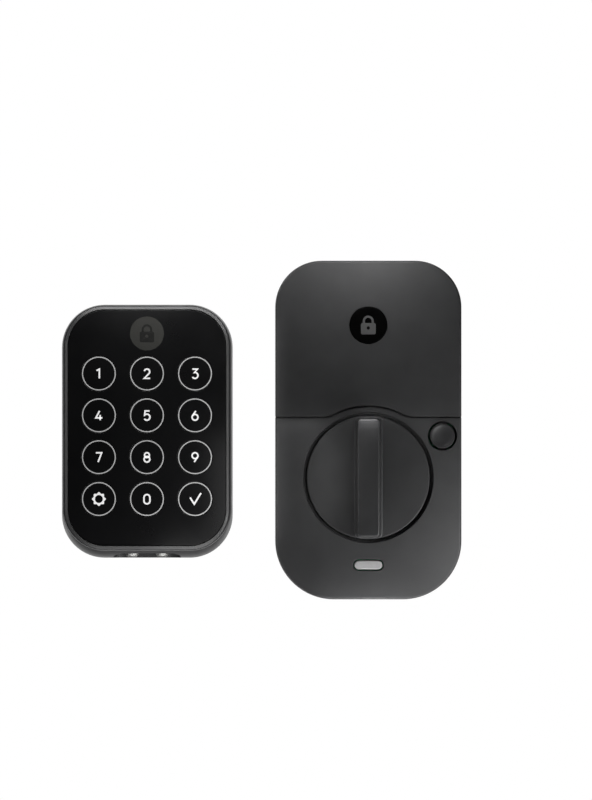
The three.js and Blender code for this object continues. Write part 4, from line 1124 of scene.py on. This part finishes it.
# Profiles of a cell, as (radius, distance from its flat end, rounding).
CELL_RADIUS, SLEEVE_INNER, BAND_FROM = 6.95, 5.6, 37.0
CELL_SLEEVE = [
    (SLEEVE_INNER, 0.35, 0), (6.6, 0.1, 0.2), (CELL_RADIUS, 0.5, 0.3), (CELL_RADIUS, 49.0, 0.4),
    (6.1, 49.6, 0.2), (5.4, 49.45, 0),
]
CELL_CAN = [
    (0, 0.45, 0), (2.0, 0.4, 0.2), (5.7, 0.25, 0.2), (5.7, 49.2, 0.1), (3.4, 49.25, 0.2),
    (2.65, 49.4, 0.2), (2.55, 50.4, 0.35), (0, 50.45, 0),
]


def make_cell(number):
    """A can with its terminal, a sleeve and a band; every second cell stands upside down."""
    node = "battery_%d" % number
    low, high = box_mm(node)
    centre = node_centre(node)
    flip = number % 2 == 0
    start, way = (high.z - LOCK_UNIT.y, -1) if flip else (low.z - LOCK_UNIT.y, 1)
    sleeve = filleted(CELL_SLEEVE)
    joint = [(CELL_RADIUS, BAND_FROM), (SLEEVE_INNER, BAND_FROM)]
    parts = (
        ("can", filleted(CELL_CAN), 64, NICKEL, node),
        ("sleeve", [p for p in sleeve if p[1] < BAND_FROM] + joint, 72, SLEEVE, None),
        ("band", joint[::-1] + [p for p in sleeve if p[1] > BAND_FROM], 72, SLEEVE_BAND, None),
    )
    for label, profile, steps, material, replaced in parts:
        placed = [(radius, start + way * along) for radius, along in profile]
        part = turned(label, placed, centre.x - LOCK_UNIT.x, -centre.y, steps, along="y")
        finish(part, f"{node}_{label}", LOCK_UNIT, material, "battery_wrap", replaced)


# ---- CAD nodes that stay, with a better finish

# Each row: the material, how far edges are softened in millimetres, and the nodes.
KEPT = (
    (CLEAR, 0.08, ("light_guide", "dome_sheet")),
    (BOARD, 0.08, ("keypad_circuit_board", "main_circuit_board")),
    (CHASSIS, 0.2, ("keypad_back_plate", "interior_base", "battery_tray", "network_module")),
    (SOCKET, 0.12, ("keypad_cable_socket", "interior_cable_socket")),
    (ACETAL, 0.08, ("main_gear", "reduction_gear")),
    (STEEL, 0.18, ("mounting_plate", "drive_hub", "knob_screw", "tailpiece")),
    (STEEL, 0.18, ("reduction_gear_pin", "module_screw_left", "module_screw_right")),
    (MOTOR_CAN, 0.2, ("motor",)),
    (BRASS, 0.06, ("motor_pinion",)),
    (NICKEL, 0.06, ("battery_contact_1_minus", "battery_contact_1_2", "battery_contact_2_3")),
    (NICKEL, 0.06, ("battery_contact_3_4", "battery_contact_4_plus")),
)

# ---- Building it all

make_housing()
make_bezel()
make_panel()
for key in key_nodes():
    make_key(key)
make_keypad_badge()
make_contacts()
make_seal()
make_posts()
make_battery_cover()
make_lower_cover()
make_knob()
make_button()
make_light()
for cell in range(1, 5):
    make_cell(cell)
for material, edge, nodes in KEPT:
    for node in nodes:
        keep_node(node, material, edge)

# ---- Camera, light and backdrop

VIEW_CENTRE = Vector((-0.0289, -0.027, 0.012))
VIEW_HEIGHT = 0.32
CAMERA_DISTANCE = 5.0
SENSOR_MM = 36.0
FLOOR_RADIUS, FLOOR_LEVEL = 6.0, -0.6

camera = link("camera", bpy.data.cameras.new("camera"))
camera.data.sensor_width = SENSOR_MM
camera.data.lens = SENSOR_MM * CAMERA_DISTANCE / VIEW_HEIGHT
camera.location = VIEW_CENTRE + Vector((0, -CAMERA_DISTANCE, 0))
camera.rotation_euler = (QUARTER, 0, 0)
camera.data.clip_start, camera.data.clip_end = 0.05, 20.0
scene.camera = camera


def softbox(name, place, target, size, power):
    lamp = bpy.data.lights.new(name, "AREA")
    lamp.shape = "RECTANGLE"
    lamp.size, lamp.size_y = size
    lamp.energy = power
    made = link(name, lamp)
    made.visible_camera = False
    made.location = Vector(place)
    made.rotation_euler = (Vector(target) - made.location).to_track_quat("-Z", "Y").to_euler()
    return made


# Small softboxes close round each unit's front: place, target and size in millimetres, and
# watts. A place is given from the unit's centre: to the viewer's right, off the door and up.
LOCK_LAMPS = {
    "top_strip": ((0, 58, 92.6), (0, 33, 47.6), (50, 20), 0.0197),
    "top_edge": ((0, 93, 77.6), (0, 33, 57.6), (30, 20), 0.0189),
    "left": ((-87, 93, 0), (-20, 33, 0), (40, 100), 0.0004),
    "right": ((67, 73, -20), (20, 33, -20), (20, 90), 0.0087),
    "low_right": ((57, 83, -67.6), (20, 33, -47.6), (40, 50), 0.0362),
    "wide_right": ((80, 130, -50), (20, 33, -40), (60, 60), 0.0263),
    "foot": ((20, 63, -97.6), (14, 33, -47.6), (40, 20), 0.0185),
    "foot_edge": ((-4, 44, -79), (-4, 33, -64), (30, 8), 0.0065),
    "seam": ((-28, 42, 4.8), (-28, 36, -30), (20, 3), 0.0008),
    "grip_left": ((-40, 42, -19), (0, 36, -19), (8, 40), 0.0007),
    "knob_left": ((-16, 62, -19), (-10, 34, -19), (12, 36), 0.0022),
    "button": ((21.5, 46, 4.5), (29.6, 33, -4.5), (3, 3), 0.00012),
    "grip": ((0, 51, 7.5), (0, 45, -20), (8, 4), 0.0016),
}
KEYPAD_LAMPS = {
    "top_strip": ((0, 45.5, 75.8), (0, 20.5, 30.8), (50, 20), 0.003),
    "top_edge": ((0, 80.5, 60.8), (0, 20.5, 40.8), (30, 20), 0.0018),
    "over": ((0, 53, 83), (0, 20.7, 49), (100, 9), 0.025),
    "right": ((36, 60.5, -38), (18, 20.5, -38), (20, 70), 0.0034),
    "left_side": ((-75, 50, 0), (-32, 20.5, 0), (10, 90), 0.0052),
    "right_side": ((47, 42, 0), (30, 18, 0), (12, 90), 0.0036),
    "foot": ((20, 50.5, -58), (20, 20.5, -40.8), (30, 20), 0.0036),
    "under": ((6, 38, -88), (6, 18.5, -47), (90, 14), 0.029),
}


def light_unit(prefix, centre, lamps):
    for name, (place, target, size, power) in lamps.items():
        ends = [centre + Vector((x, -off, up)) * MM for x, off, up in (place, target)]
        softbox(prefix + name, *ends, [side * MM for side in size], power)


light_unit("lock_", Vector((0, 0, 0)), LOCK_LAMPS)
light_unit("keypad_", Vector((-0.0886, 0, -0.00055)), KEYPAD_LAMPS)

# Soft fill from beside, above and behind, for views other than the photograph's.
FILL_LAMPS = {
    "fill_right": ((1.0, 0.25, 0.05), 5.0),
    "fill_left": ((-1.1, 0.25, 0.05), 5.0),
    "fill_top": ((-0.03, 0.3, 1.0), 4.0),
    "fill_low": ((-0.03, 0.3, -0.55), 0.8),
}
for name, (place, power) in FILL_LAMPS.items():
    lamp = softbox(name, place, VIEW_CENTRE, (0.5, 0.5), power)
    lamp.visible_glossy = False

floor_mesh = bmesh.new()
bmesh.ops.create_circle(floor_mesh, cap_ends=True, segments=96, radius=FLOOR_RADIUS)
floor_data = bpy.data.meshes.new("floor")
floor_mesh.to_mesh(floor_data)
floor_mesh.free()
floor = link("floor", floor_data)
floor.location = (0, 0, FLOOR_LEVEL)
floor.data.materials.append(print_ink("floor_white", (0.05, 0.05, 0.05), 0.76))
# The floor shows, but throws no light back on the pieces.
floor.visible_diffuse = floor.visible_glossy = floor.visible_transmission = False

# The camera sees white. Reflections see a dark room that turns white behind the pieces.
ROOM = ((0.86, (0.02, 0.02, 0.02)), (0.95, (1.0, 1.0, 1.0)))

world = scene.world = bpy.data.worlds.new("studio")
world.use_nodes = True
sky = world.node_tree
white = sky.nodes["Background"]
white.inputs["Color"].default_value = (1, 1, 1, 1)
room, towards, split, away, shade_by, path, choose = (
    sky.nodes.new("ShaderNode" + kind)
    for kind in (
        "Background", "TexCoord", "SeparateXYZ", "Math", "ValToRGB", "LightPath", "MixShader",
    )
)
away.operation = "MULTIPLY_ADD"
away.inputs[1].default_value = away.inputs[2].default_value = 0.5
set_ramp(shade_by, *ROOM)
for source, target in (
    (towards.outputs["Generated"], split.inputs[0]),
    (split.outputs["Y"], away.inputs[0]),
    (away.outputs[0], shade_by.inputs["Fac"]),
    (shade_by.outputs["Color"], room.inputs["Color"]),
    (path.outputs["Is Camera Ray"], choose.inputs["Fac"]),
    (room.outputs[0], choose.inputs[1]),
    (white.outputs[0], choose.inputs[2]),
    (choose.outputs[0], sky.nodes["World Output"].inputs["Surface"]),
):
    sky.links.new(source, target)
scene.view_settings.view_transform = "Standard"
